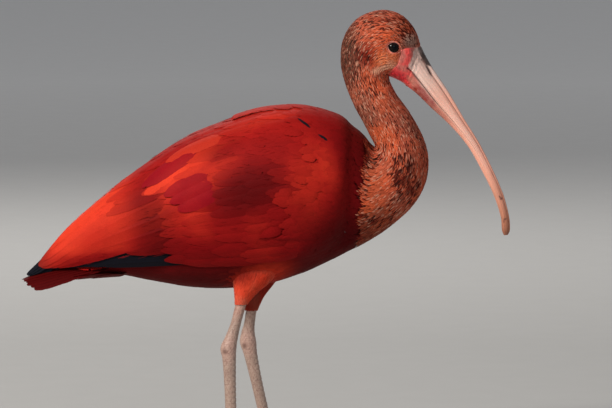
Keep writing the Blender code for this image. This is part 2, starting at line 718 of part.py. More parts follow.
def make_tail(where, feathers):
    """The tail feathers in pairs, with coverts over and under their roots."""
    tail = loft("tail", level_rings(TAIL_ROOT_RINGS, 14), where)
    made = []
    for pair in range(TAIL_PAIRS):
        share = pair / (TAIL_PAIRS - 1)
        root = Vector(TAIL_MIDDLE["root"]).lerp(Vector(TAIL_OUTER["root"]), share)
        tip = Vector(TAIL_MIDDLE["tip"]).lerp(Vector(TAIL_OUTER["tip"]), share)
        droop = mixed(TAIL_MIDDLE["droop"], TAIL_OUTER["droop"], share)
        for side, name in SIDE_NAMES.items():
            made.append(tail_vane(f"tail_{pair}_{name}", root, tip, TAIL_HALF_WIDTH, "flight", 0.0,
                                  droop, where, side == RIGHT, TAIL_TILT))
    for row, (count, root, tip, reach, sink) in TAIL_COVERTS.items():
        for k in range(count):
            share = 2 * k / (count - 1) - 1
            inwards = abs(share) * math.copysign(1.0, sink)
            start = (root[0], 0.5 * reach * share, root[1] + 1.5 * inwards)
            end = (tip[0] + 4 * abs(share), reach * share, tip[1] + inwards)
            made.append(tail_vane(f"{row}_tail_covert_{k}", start, end, TAIL_COVERT_HALF_WIDTH,
                                  "covert", sink, 0.0, where, False, 0.0))
    apply_boolean(tail, "UNION", made)
    finish(tail, feathers)


def main():
    clear_scene()
    bird = collection("scarlet_ibis")
    cutters = collection("cutters")
    scarlet = material("scarlet_feathers", SCARLET, 0.6)
    salmon = material("salmon_feathers", SALMON, 0.7)
    horn = material("bill_horn", BILL_PINK, 0.4)
    skin = material("leg_skin", LEG_PINK, 0.55)
    eye_finish = material("eye", EYE_BLACK, 0.05)
    claw_finish = material("claw_horn", CLAW_HORN, 0.35)
    make_torso(bird, scarlet)
    make_neck(bird, salmon)
    make_head(bird, salmon, eye_finish)
    make_bill(bird, horn)
    for side in SIDE_NAMES:
        make_wing(side, bird, cutters, scarlet)
        make_leg(side, bird, cutters, scarlet, skin, claw_finish)
    make_tail(bird, scarlet)
    bpy.data.collections.remove(cutters)


main()
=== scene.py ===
"""Looks of a standing scarlet ibis: a skin, a coat of vaned feathers and tufts, and bare parts.

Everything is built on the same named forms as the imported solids. Lengths in the tables are
millimetres, angles are degrees, and colours are linear.
"""

import math

import bpy
import numpy as np
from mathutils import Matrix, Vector


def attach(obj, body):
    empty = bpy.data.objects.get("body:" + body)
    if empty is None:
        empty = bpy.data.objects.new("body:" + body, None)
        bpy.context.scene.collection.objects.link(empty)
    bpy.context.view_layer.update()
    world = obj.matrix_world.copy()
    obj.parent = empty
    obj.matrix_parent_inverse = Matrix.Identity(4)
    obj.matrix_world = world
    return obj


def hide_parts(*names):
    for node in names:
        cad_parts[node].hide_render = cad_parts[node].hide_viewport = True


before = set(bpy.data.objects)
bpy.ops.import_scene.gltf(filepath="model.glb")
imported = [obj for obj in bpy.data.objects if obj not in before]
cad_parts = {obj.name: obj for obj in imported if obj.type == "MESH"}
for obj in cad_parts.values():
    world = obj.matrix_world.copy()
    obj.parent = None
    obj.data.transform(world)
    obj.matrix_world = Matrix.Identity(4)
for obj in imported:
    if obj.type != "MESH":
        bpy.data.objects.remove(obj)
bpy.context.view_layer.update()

MM = 0.001
TAU = 2 * math.pi
SIDES = {"left": 1, "right": -1}

# Ribs of the body from the tail root to the bill: back x, back z, belly x, belly z, half width.
# The first rib carries the coat on over the roots of the tail.
BODY_RIBS = np.array([
    (-126.0, 149.6, -127.0, 139.6, 5.0),
    (-106.6, 161.9, -106.6, 141.6, 11.0), (-85.0, 185.0, -83.5, 137.6, 22.0),
    (-56.2, 215.4, -54.7, 132.8, 33.0), (-27.4, 238.5, -25.9, 132.0, 39.0),
    (1.4, 255.0, 1.4, 135.2, 41.5), (26.6, 258.4, 25.2, 142.4, 41.0),
    (49.7, 256.6, 44.6, 151.1, 36.6), (65.5, 247.0, 58.3, 157.9, 31.0),
    (75.6, 235.3, 72.0, 165.0, 27.8), (77.8, 233.5, 87.8, 175.2, 25.5),
    (78.5, 233.8, 105.1, 190.8, 23.5), (78.5, 235.3, 114.5, 207.4, 21.5),
    (77.4, 237.4, 116.6, 224.8, 19.5), (74.9, 242.1, 112.7, 240.7, 17.5),
    (69.8, 251.9, 103.0, 258.4, 15.5), (63.4, 263.8, 93.6, 271.4, 14.5),
    (56.9, 280.4, 88.6, 281.2, 14.5), (54.0, 295.6, 88.9, 284.1, 15.6),
    (56.2, 312.2, 90.0, 283.7, 16.6), (66.2, 326.0, 92.2, 283.0, 17.2),
    (82.8, 331.8, 94.3, 281.9, 16.8), (97.2, 328.2, 96.5, 280.8, 14.6),
    (106.6, 318.0, 98.3, 279.7, 11.6), (110.9, 306.1, 100.1, 278.3, 8.2),
])
HEAD_END = float(len(BODY_RIBS) - 1)
HEAD_START = 16.6
# Outer form of the folded wings, from the shoulders to the wing tips, with the lower edge's angle.
WING_RIBS = np.array([
    (61.9, 247.9, 56.9, 169.1, 33.0, 118.0), (51.8, 256.6, 46.1, 154.7, 41.5, 134.0),
    (24.5, 263.5, 22.3, 141.7, 47.0, 140.0), (-4.3, 261.3, -4.3, 135.2, 48.5, 142.0),
    (-33.1, 252.3, -33.1, 133.0, 46.5, 140.0), (-61.9, 240.0, -60.5, 133.7, 41.0, 138.0),
    (-90.7, 220.5, -88.6, 135.2, 33.0, 134.0), (-119.5, 198.8, -117.4, 136.6, 24.0, 126.0),
    (-144.7, 176.0, -143.3, 138.0, 15.0, 116.0), (-162.7, 155.4, -162.0, 138.0, 8.5, 112.0),
    (-174.2, 143.4, -174.2, 137.3, 3.5, 110.0),
])
FLIGHT_ANGLES = (8.0, 21.5, 35.0, 48.5, 62.0, 75.5, 89.0, 102.5, 116.0, 128.5)
FLIGHT_TIPS = (9.35, 9.2, 9.05, 8.9, 8.75, 8.55, 8.2, 7.5, 6.8, 6.2)
# Bill ribs: culmen x and z, lower edge x and z, half width, share of the depth in the upper half.
BILL_RIBS = np.array([
    (111.2, 305.8, 100.4, 278.0, 8.0, 0.62), (119.2, 291.3, 108.0, 272.1, 6.4, 0.64),
    (130.8, 273.9, 118.4, 262.0, 5.0, 0.68), (142.2, 254.4, 132.8, 248.6, 4.2, 0.66),
    (153.6, 236.0, 145.8, 233.1, 3.6, 0.62), (164.0, 215.4, 156.6, 213.9, 3.2, 0.60),
    (170.9, 199.1, 164.2, 198.0, 3.0, 0.58), (174.9, 184.2, 168.9, 183.6, 2.8, 0.56),
    (175.7, 174.2, 169.9, 173.5, 2.4, 0.55), (174.2, 170.0, 171.4, 169.8, 1.1, 0.55),
])
UPPER_BILL = np.array([
    (0.0, 1.0), (0.3, 0.95), (0.5, 0.82), (0.46, 0.7), (0.78, 0.52), (0.97, 0.24), (1.0, 0.0),
])
LOWER_BILL = np.array([(0.96, 1.0), (0.9, 0.62), (0.68, 0.26), (0.32, 0.04), (0.0, 0.0)])
BILL_GAP = (0.22, 0.05)
NOSTRIL = {"place": (117.2, 289.4), "slope": 62.0, "half_length": 4.6, "half_width": 0.8,
           "depth": 1.3}

EYE_T, EYE_ANGLE = 21.36, 91.1
EYE_RADIUS, EYE_SINK = 5.0, 4.1
EYE_OPENING = (4.1, 3.6)
EYE_SLANT = -20.0
FACE_CLEAR = 1.27

# Limbs: rows of x, y, z, half length, half width down the left leg's and the right leg's side.
THIGHS = {
    "right": [(-6.0, 16.0, 158.0, 22.0, 9.0), (-9.5, 16.4, 140.0, 14.5, 10.0),
              (-14.5, 16.6, 129.5, 8.0, 7.0), (-17.8, 16.8, 121.5, 4.4, 4.0)],
    "left": [(-2.0, 16.0, 158.0, 22.0, 9.0), (-5.0, 16.4, 138.0, 14.0, 10.0),
             (-8.8, 16.6, 124.0, 7.4, 6.6), (-10.8, 16.8, 113.5, 4.4, 4.0)],
}
LEGS = {
    "right": [(-16.8, 16.6, 125.0, 3.3, 2.9), (-18.0, 16.8, 121.1, 3.5, 3.1),
              (-21.5, 17.3, 108.0, 3.4, 3.0), (-24.6, 17.9, 98.0, 4.3, 3.6),
              (-26.9, 18.2, 90.0, 5.4, 4.4), (-26.3, 18.4, 81.0, 4.5, 3.7),
              (-25.6, 18.8, 60.0, 3.8, 3.1), (-24.8, 19.4, 34.0, 3.7, 3.0),
              (-23.9, 19.8, 14.0, 3.9, 3.4), (-23.1, 20.0, 5.0, 4.4, 4.3)],
    "left": [(-10.2, 16.6, 117.0, 3.3, 2.9), (-10.9, 16.8, 113.1, 3.5, 3.1),
             (-12.2, 17.4, 104.0, 3.6, 3.1), (-13.2, 17.9, 98.0, 4.4, 3.6),
             (-13.2, 18.2, 90.0, 5.6, 4.4), (-11.4, 18.4, 81.0, 4.6, 3.7),
             (-6.8, 18.8, 60.0, 3.8, 3.1), (-0.9, 19.4, 34.0, 3.7, 3.0),
             (3.6, 19.8, 14.0, 3.9, 3.4), (5.7, 20.0, 5.0, 4.4, 4.3)],
}
FOOT_PLACE = {"right": (-23.0, 20.0), "left": (5.8, 20.0)}
# Toes: name, direction from straight ahead (positive is outwards), length, root and tip radius.
TOES = [("middle", 2.0, 56.0, 2.9, 1.9), ("inner", -34.0, 42.0, 2.7, 1.8),
        ("outer", 36.0, 46.0, 2.7, 1.8), ("hind", 168.0, 21.0, 2.4, 1.7)]
CLAW_LENGTH = 6.5

SCARLET = (0.50, 0.012, 0.010)
ORANGE_RED = (0.74, 0.046, 0.018)
CRIMSON = (0.30, 0.004, 0.006)
# Deep red laid on as painted shade: on the wings, on the thighs' inner sides and under the tail.
DEEP_SHADE_RED = (0.12, 0.002, 0.003)
BLUE_BLACK = (0.006, 0.007, 0.012)
TIP_BLACK = (0.035, 0.003, 0.005)
SHADE_RED = (0.055, 0.001, 0.002)
SALMON = (0.62, 0.112, 0.055)
ORANGE = (0.86, 0.145, 0.050)
DUSKY_PINK = (0.34, 0.105, 0.070)
PINK_GREY = (0.22, 0.085, 0.056)
CREAM = (1.0, 0.44, 0.27)
CHEEK = (1.0, 0.25, 0.105)
GREY_WHITE = (0.46, 0.29, 0.23)
DARK_BROWN = (0.045, 0.010, 0.007)
OLIVE_GREY = (0.085, 0.050, 0.034)
RUST_RED = (0.26, 0.020, 0.009)
ROSY = (1.0, 0.098, 0.085)
ROSY_PALE = (0.70, 0.25, 0.19)
ROSE_DEEP = (0.82, 0.038, 0.050)
HORN_GREY = (0.84, 0.56, 0.47)
HORN_WHITE = (0.92, 0.66, 0.57)
HORN_PINK = (0.96, 0.44, 0.315)
HORN_PEACH = (0.46, 0.165, 0.088)
GROOVE_BROWN = (0.16, 0.065, 0.055)
LEG_PALE = (0.42, 0.295, 0.235)
LEG_DARK = (0.24, 0.125, 0.10)
CARMINE = (0.27, 0.003, 0.010)
DULL_ORANGE = (0.50, 0.030, 0.014)
PALE_SALMON = (0.78, 0.40, 0.27)
THIGH_ORANGE = (0.72, 0.062, 0.026)
THIGH_PINK = (0.70, 0.15, 0.085)
CORNER_BROWN = (0.34, 0.17, 0.11)
CHIN_PINK = (0.56, 0.19, 0.14)
CHIN_BROWN = (0.26, 0.12, 0.085)
# Painted shadow on the culmen's base.
CULMEN_SHADOW = (0.030, 0.014, 0.012)
HORN_TIP = (0.29, 0.100, 0.055)
HORN_ROSE = (0.37, 0.080, 0.060)
HORN_ROSE_DEEP = (0.36, 0.085, 0.075)
HORN_MARK = (0.14, 0.045, 0.03)
NOSTRIL_DARK = (0.03, 0.010, 0.010)
LID_PINK = (0.90, 0.36, 0.26)
LID_RED = (0.74, 0.20, 0.14)
LID_MARGIN = (0.05, 0.015, 0.015)
MOUTH_RED = (0.16, 0.03, 0.03)
IRIS_BROWN = (0.009, 0.004, 0.003)
IRIS_RIM = (0.003, 0.002, 0.002)
PUPIL = (0.002, 0.002, 0.003)
HEEL_PINK = (0.60, 0.34, 0.28)
SHANK_PINK = (0.56, 0.22, 0.16)
HEEL_BROWN = (0.16, 0.08, 0.06)
SPECKLE_BROWN = (0.20, 0.10, 0.08)
CLAW_ROOT = (0.16, 0.10, 0.085)
CLAW_BLACK = (0.022, 0.016, 0.015)

# Least steps of a sheet's places, in mm, so that a path can't run away where the sheet is narrow.
LEAST_ALONG, LEAST_ACROSS = 0.3, 0.02
# Baked patches: size of one feather's patch on the unwrap, and the unwrap's margin and span.
BAKE_PATCH, BAKE_MARGIN, BAKE_SPAN = 0.003, 0.01, 0.98
UP = np.array([0, 0, 1.0])
MIRRORED = np.array([1, -1, 1])


def norm(v):
    """Lengths of vectors."""
    return np.sqrt((v * v).sum(-1))


def unit(v):
    """Vectors made one long."""
    return v / np.maximum(norm(v), 1e-9)[..., None]


def smooth(low, high, x):
    """A soft step: 0 where x is at low, 1 where it is at high."""
    u = np.clip((x - low) / (high - low), 0.0, 1.0)
    return u * u * (3 - 2 * u)


def mixed(a, b, share):
    """Colours or numbers between a and b, with a share for each row."""
    share = np.asarray(share)
    a, b = np.asarray(a, float), np.asarray(b, float)
    return a + (b - a) * (share[..., None] if a.ndim and a.shape[-1] == 3 else share)


def layered(colour, *layers):
    """A colour with others laid over it in turn, each with its share."""
    for over, share in layers:
        colour = mixed(colour, over, share)
    return colour


def crossed(u, v):
    """Two grids of u down the rows and v across the columns."""
    return np.meshgrid(u, v, indexing="ij")


def ring(count, turn=TAU):
    """Directions round a full turn."""
    return np.linspace(0, turn, count, endpoint=False)


def on_side(rows, side):
    """Rows of x, y, z and two half sizes, with y on a side of the bird."""
    return np.array([(x, y * side, z, p, q) for x, y, z, p, q in rows])


def hashed(x, y, z, seed):
    """Fixed random numbers from 0 to 1 for whole numbers."""
    h = x * 73856093 ^ y * 19349663 ^ z * 83492791 ^ (seed * 97531 + 12345)
    h = (h ^ (h >> 13)) * 1274126177 & 0x7FFFFFFF
    h = (h ^ (h >> 16)) * 668265263 & 0x7FFFFFFF
    return (h ^ (h >> 11)) % 65536 / 65535


def noise(p, size, seed=0):
    """Smooth noise from 0 to 1 at points p; size is its features' size, in all or per axis."""
    q = np.asarray(p) / np.asarray(size, float)
    cell = np.floor(q).astype(np.int64)
    f = q - cell
    f = f * f * (3 - 2 * f)
    total = np.zeros(q.shape[:-1])
    for dx in (0, 1):
        for dy in (0, 1):
            for dz in (0, 1):
                w = (np.where(dx, f[..., 0], 1 - f[..., 0]) * np.where(dy, f[..., 1], 1 - f[..., 1])
                     * np.where(dz, f[..., 2], 1 - f[..., 2]))
                total += w * hashed(cell[..., 0] + dx, cell[..., 1] + dy, cell[..., 2] + dz, seed)
    return total


def spline(rows, t):
    """Rows of a table at places t, by a smooth spline."""
    last = len(rows) - 1
    start = np.clip(np.floor(t).astype(int), 0, last - 1)
    u = (t - start)[..., None]
    a, b, c, d = (rows[np.clip(start + k, 0, last)] for k in (-1, 0, 1, 2))
    return b + 0.5 * u * (c - a + u * (2 * a - 5 * b + 4 * c - d + u * (3 * (b - c) + d - a)))


def gap_to(x, z, start, end):
    """How far points of the side view are from the line between two others."""
    (x0, z0), (x1, z1) = start, end
    ex, ez = x1 - x0, z1 - z0
    h = np.clip(((x - x0) * ex + (z - z0) * ez) / (ex * ex + ez * ez), 0, 1)
    return np.hypot(x - x0 - ex * h, z - z0 - ez * h)


class Sheet:
    """A surface that feathers grow on, with a place t along it and a place a across it.

    lie is 1 where the coat lies towards larger t, and hand is 1 where t, a and outwards are a
    right-handed set.
    """

    def __init__(self, point, lie, hand, t_range, a_range, step_a=0.5):
        self.point, self.lie, self.hand = point, lie, hand
        self.t_range, self.a_range, self.step_a = t_range, a_range, step_a

    def frame(self, t, a):
        """What a step of t and of a moves a point, and the way outwards."""
        dt, da = 0.02, self.step_a
        along = (self.point(t + dt, a) - self.point(t - dt, a)) / (2 * dt)
        across = (self.point(t, a + da) - self.point(t, a - da)) / (2 * da)
        return along, across, unit(np.cross(along, across)) * self.hand

    def walk(self, t, a, heading, length, stations):
        """Places along paths of the given length that set out at a heading from the coat's lie."""
        turn = np.radians(heading)
        places = [(t, a)]
        each = 2
        steps = (stations - 1) * each
        for _ in range(steps):
            along, across, _n = self.frame(t, a)
            ds = length / steps
            t = t + self.lie * np.cos(turn) * ds / np.maximum(norm(along), LEAST_ALONG)
            t = np.clip(t, *self.t_range)
            a = a + np.sin(turn) * ds / np.maximum(norm(across), LEAST_ACROSS)
            places.append((t, a))
        places = places[::each]
        return np.stack([p[0] for p in places], 1), np.stack([p[1] for p in places], 1)


def rib_surface(rows):
    """A form with oval ribs, as a function of place, angle and growth in mm."""
    def point(t, angle, grow=0.0):
        row = spline(rows, t)
        centre = (row[..., 0:2] + row[..., 2:4]) / 2
        up = (row[..., 0:2] - row[..., 2:4]) / 2
        up = up * (1 + grow / norm(up))[..., None]
        turn = np.radians(angle)
        flat = centre + up * np.cos(turn)[..., None]
        return np.stack([flat[..., 0], (row[..., 4] + grow) * np.sin(turn), flat[..., 1]], -1)
    return point


def limb_surface(rows):
    """A round limb along rows of x, y, z and two half sizes, as such a function."""
    def point(t, angle, grow=0.0):
        row = spline(rows, t)
        turn = np.radians(angle)
        return np.stack([row[..., 0] + (row[..., 3] + grow) * np.cos(turn),
                         row[..., 1] + (row[..., 4] + grow) * np.sin(turn), row[..., 2]], -1)
    return point


body_point = rib_surface(BODY_RIBS)
wing_point = rib_surface(WING_RIBS)


def from_back(angle):
    """Degrees away from the back's middle, from 0 to 180."""
    return np.abs((angle + 180) % 360 - 180)


def shoulder_point(t, angle, grow=0.0):
    """The body's form, carried over the front of the folded wings at the shoulders."""
    turn = from_back(angle)
    over = wing_point(np.clip(8.0 - t, 0.0, 10.0), angle, grow + 0.5)
    rear = mixed(3.8, 5.6, smooth(108, 124, turn))
    share = smooth(8.6, 7.4, t) * smooth(152, 132, turn) * smooth(rear, rear + 0.6, t)
    return body_point(t, angle, grow) * (1 - share[..., None]) + over * share[..., None]


BODY = Sheet(body_point, -1, 1, (0.0, HEAD_END), (0.0, 360.0))
SHOULDERS = Sheet(shoulder_point, -1, 1, (0.0, HEAD_END), (0.0, 360.0))
WING = Sheet(wing_point, 1, -1, (0.0, 10.0), (0.0, 160.0))
TAIL_START, TAIL_LENGTH = -105.0, 71.0


def tail_top(t, a):
    """The tail's upper side: t is millimetres back from its start, and a out from its middle."""
    drop = 12.0 * np.clip(t / TAIL_LENGTH, 0, 1.3) ** 2.5
    z = 152.6 - 0.03 * t - drop - 0.035 * a * a - 0.12 * np.abs(a)
    return np.stack([TAIL_START - t, a, z], -1)


def tail_under(t, a):
    """The tail's underside, placed like its upper side."""
    z = 141.0 - 0.06 * t - 4.0 * np.clip(t / TAIL_LENGTH, 0, 1.3) ** 2 + 0.02 * a * a
    return np.stack([TAIL_START - t, a, z], -1)


TAIL_TOP = Sheet(tail_top, 1, -1, (-10.0, 80.0), (-25.0, 25.0), 0.3)
TAIL_UNDER = Sheet(tail_under, 1, 1, (-10.0, 80.0), (-25.0, 25.0), 0.3)


class Finish:
    """A new material, with short ways to add shader nodes to it."""

    def __init__(self, name, roughness, **shader):
        self.made = bpy.data.materials.new(name)
        self.made.use_nodes = True
        self.tree = self.made.node_tree
        self.shader = self.tree.nodes["Principled BSDF"]
        self.fill(self.shader, Roughness=roughness, **shader)

    def feed(self, socket, value):
        """Links another node's output to a socket, or sets the socket to a number."""
        if isinstance(value, bpy.types.NodeSocket):
            self.tree.links.new(value, socket)
        else:
            socket.default_value = value

    def fill(self, node, **inputs):
        for key, value in inputs.items():
            self.feed(node.inputs[key.replace("_", " ")], value)
        return node

    def add(self, kind, operation=None, **inputs):
        node = self.tree.nodes.new(kind)
        if operation:
            node.operation = operation
        return self.fill(node, **inputs)

    def place(self):
        return self.add("ShaderNodeTexCoord").outputs["Object"]

    def attribute(self, name):
        node = self.add("ShaderNodeAttribute")
        node.attribute_name = name
        return node.outputs

    def math(self, operation, a, b=0.0):
        node = self.add("ShaderNodeMath", operation)
        self.feed(node.inputs[0], a)
        self.feed(node.inputs[1], b)
        return node.outputs[0]

    def product(self, first, *others):
        for other in others:
            first = self.math("MULTIPLY", first, other)
        return first

    def noise(self, scale, detail=3.0):
        return self.add("ShaderNodeTexNoise", Scale=scale, Detail=detail, Roughness=0.55,
                        Vector=self.place()).outputs["Fac"]

    def range(self, value, low, high, start=0.0, end=1.0):
        return self.add("ShaderNodeMapRange", Value=value, From_Min=start, From_Max=end,
                        To_Min=low, To_Max=high).outputs["Result"]

    def colour(self, base, factor):
        """Gives the shader a base colour times a factor."""
        node = self.add("ShaderNodeVectorMath", "SCALE", Scale=factor)
        self.feed(node.inputs[0], base)
        self.feed(self.shader.inputs["Base Color"], node.outputs[0])

    def tinted(self, factor):
        """Gives the shader the painted tint times a factor."""
        self.colour(self.attribute("tint")["Color"], factor)

    def bump(self, height, strength, distance):
        node = self.add("ShaderNodeBump", Height=height, Strength=strength, Distance=distance)
        self.feed(self.shader.inputs["Normal"], node.outputs["Normal"])


def feather_material(name, roughness, barb_pitch, barb_shade, sheen, grain=900.0):
    """Soft vanes: the tint of each feather, uneven lines along its barbs and a slight sheen."""
    n = Finish(name, roughness, Sheen_Weight=sheen, Sheen_Roughness=0.45,
               Sheen_Tint=(1.0, 0.35, 0.22, 1.0), Specular_IOR_Level=0.05)
    barb = n.attribute("barb")["Fac"]
    wave = n.math("SINE", n.product(barb, TAU / barb_pitch))
    lines = n.range(n.math("ADD", n.product(wave, 0.5), 0.5), 1 - barb_shade, 1.0)
    uneven = n.add("ShaderNodeTexNoise", Detail=4.0, Roughness=0.75)
    uneven.noise_dimensions = "1D"
    n.fill(uneven, W=n.product(barb, 0.9))
    strands = n.range(uneven.outputs["Fac"], 0.70, 1.26)
    fine = n.range(n.noise(grain), 0.84, 1.14)
    broad = n.range(n.noise(70.0), 0.86, 1.12)
    n.tinted(n.product(lines, strands, fine, broad))
    n.bump(n.math("ADD", n.math("ADD", wave, uneven.outputs["Fac"]), n.noise(grain)), 0.25, 0.00008)
    return n.made


def skin_material(name, roughness, grain, speckle, bump, subsurface=0.0):
    """Bare parts: the painted tint with fine speckles, pores and creases."""
    n = Finish(name, roughness)
    pores = n.add("ShaderNodeTexVoronoi", Scale=grain, Vector=n.place()).outputs["Distance"]
    fine = n.range(n.noise(grain * 0.6, 5.0), 1 - speckle, 1 + speckle * 0.8)
    broad = n.range(n.noise(120.0), 0.88, 1.10)
    n.tinted(n.product(fine, broad))
    n.bump(n.math("ADD", n.product(pores, 0.6), n.noise(grain * 0.5, 5.0)), 0.5, bump)
    if subsurface:
        n.fill(n.shader, Subsurface_Weight=subsurface, Subsurface_Scale=0.002,
               Subsurface_Radius=(1.0, 0.35, 0.25))
    return n.made


def eye_material():
    """A wet dark eye."""
    n = Finish("eye_wet", 0.03, Specular_IOR_Level=0.04, Coat_Weight=0.30, Coat_Roughness=0.02,
               Coat_IOR=1.34)
    n.tinted(n.range(n.noise(2500.0, 4.0), 0.6, 1.3))
    return n.made


def floor_material():
    """Matt studio floor, a little paler away from the bird so that the far floor stays light."""
    n = Finish("studio_floor", 0.8, Specular_IOR_Level=0.2)
    far = n.add("ShaderNodeVectorMath", "LENGTH")
    n.feed(far.inputs[0], n.place())
    away = n.range(far.outputs["Value"], 0.42, 0.86, 0.8, 4.5)
    base = n.add("ShaderNodeRGB").outputs[0]
    base.default_value = (1.0, 0.99, 0.965, 1.0)
    n.colour(base, n.product(n.range(n.noise(30.0, 4.0), 0.97, 1.03), away))
    n.bump(n.noise(400.0), 0.1, 0.0004)
    return n.made


def paint(data, colour):
    """Gives each point of a mesh its colour."""
    full = np.ones((len(colour), 4), np.float32)
    full[:, :3] = np.clip(colour, 0, 1)
    data.attributes.new("tint", "FLOAT_COLOR", "POINT").data.foreach_set("color", full.ravel())


def linked(name, data):
    """A new object in the scene."""
    thing = bpy.data.objects.new(name, data)
    bpy.context.scene.collection.objects.link(thing)
    return thing


def mesh_piece(name, points, corners, starts, finish, tint=None, barb=None, bake=None, sharp=50.0,
               flip=False):
    """An object from arrays: points in mm, face corners and where each face starts."""
    data = bpy.data.meshes.new(name)
    data.vertices.add(len(points))
    data.vertices.foreach_set("co", (points * MM).astype(np.float32).ravel())
    data.loops.add(len(corners))
    data.polygons.add(len(starts))
    if flip:
        ends = np.append(starts[1:], len(corners))
        corners = corners[np.repeat(starts + ends - 1, ends - starts) - np.arange(len(corners))]
    data.loops.foreach_set("vertex_index", corners.astype(np.int32))
    data.polygons.foreach_set("loop_start", starts.astype(np.int32))
    data.update(calc_edges=True)
    data.shade_smooth()
    data.set_sharp_from_angle(angle=math.radians(sharp))
    if tint is not None:
        paint(data, tint)
    if barb is not None:
        data.attributes.new("barb", "FLOAT", "POINT").data.foreach_set(
            "value", barb.astype(np.float32))
    if bake is not None:
        layer = data.uv_layers.new(name="OFBake")
        layer.uv.foreach_set("vector", bake[corners].astype(np.float32).ravel())
    data.materials.append(finish)
    return linked(name, data)


# Feather forms: rows along the vane, columns across it, and its outline as place, half width.
FORMS = {
    "flight": {"rows": 60, "columns": (-1, -0.66, -0.33, -0.06, 0, 0.06, 0.33, 0.66, 1),
               "outline": ((0, 0.3), (0.1, 0.7), (0.35, 0.97), (0.65, 1.0), (0.84, 0.84),
                           (0.94, 0.56), (0.985, 0.28), (1, 0.1)),
               "slant": 1.1, "fray": 0.04, "notch": 0.005, "relief": 0.05, "shaft": 0.26,
               "thickness": 0.14, "tip_rows": 1.35},
    "covert": {"rows": 36, "columns": (-1, -0.66, -0.33, 0, 0.33, 0.66, 1),
               "outline": ((0, 0.35), (0.15, 0.78), (0.4, 1.0), (0.64, 0.96), (0.82, 0.76),
                           (0.93, 0.46), (0.985, 0.20), (1, 0.08)),
               "slant": 0.9, "fray": 0.09, "notch": 0.015, "relief": 0.06, "shaft": 0.10,
               "thickness": 0.08, "tip_rows": 1.5},
    "contour": {"rows": 11, "columns": (-1, -0.5, 0, 0.5, 1),
                "outline": ((0, 0.4), (0.2, 0.85), (0.5, 1.0), (0.75, 0.82), (0.92, 0.45),
                            (1, 0.08)),
                "slant": 0.8, "fray": 0.24, "notch": 0.06, "relief": 0.08, "shaft": 0.06,
                "thickness": 0.10, "tip_rows": 1.4},
    "tuft": {"rows": 5, "columns": (-1, 0, 1),
             "outline": ((0, 0.6), (0.35, 1.0), (0.7, 0.7), (1, 0.08)),
             "slant": 0.3, "fray": 0.3, "notch": 0.0, "relief": 0.0, "shaft": 0.10,
             "thickness": 0.10, "tip_rows": 1.1},
    "wisp": {"rows": 5, "columns": (-1, 0, 1),
             "outline": ((0, 0.5), (0.35, 1.0), (0.7, 0.7), (1, 0.08)),
             "slant": 0.2, "fray": 0.2, "notch": 0.0, "relief": 0.0, "shaft": 0.04,
             "thickness": 0.06, "tip_rows": 1.1},
}


def face_template(rows, columns):
    """Corners of one closed vane: its top, its hollow underside, its tip and its root."""
    full, last = rows - 1, columns - 1
    top = np.arange(full * columns).reshape(full, columns).tolist()
    low = list(range(full * columns, full * columns + full))
    tip = full * columns + full
    faces = []
    for here, after, below, beyond in zip(top, top[1:], low, low[1:]):
        faces += [(here[k], here[k + 1], after[k + 1], after[k]) for k in range(last)]
        faces.append((here[0], after[0], beyond, below))
        faces.append((below, beyond, after[last], here[last]))
    end = top[-1]
    faces += [(end[k], end[k + 1], tip) for k in range(last)]
    faces += [(end[0], tip, low[-1]), (low[-1], tip, end[last])]
    faces.append(tuple(top[0][::-1]) + (low[0],))
    return faces


class Coat:
    """Feathers gathered for one piece."""

    def __init__(self):
        self.points, self.tints, self.barbs, self.bakes = [], [], [], []
        self.corners, self.starts = [], []
        self.vertices = self.loops = 0

    def add(self, points, tint, barb, bake, faces):
        count, each = points.shape[:2]
        sizes = np.array([len(face) for face in faces])
        corners = np.concatenate([np.array(face) for face in faces])
        offset = self.vertices + each * np.arange(count)
        self.corners.append((corners[None] + offset[:, None]).ravel())
        begin = np.concatenate([[0], np.cumsum(sizes)[:-1]]) + self.loops
        self.starts.append((begin[None] + sizes.sum() * np.arange(count)[:, None]).ravel())
        self.points.append(points.reshape(-1, 3))
        self.tints.append(tint.reshape(-1, 3))
        self.barbs.append(barb.ravel())
        self.bakes.append(bake.reshape(-1, 2))
        self.vertices += count * each
        self.loops += count * sizes.sum()

    def piece(self, name, finish, mirror=False):
        points, corners, starts, tints, barbs, bakes = (np.concatenate(part) for part in (
            self.points, self.corners, self.starts, self.tints, self.barbs, self.bakes))
        if mirror:
            points = points * MIRRORED
        return mesh_piece(name, points, corners, starts, finish, tints, barbs, bakes, 65.0, mirror)


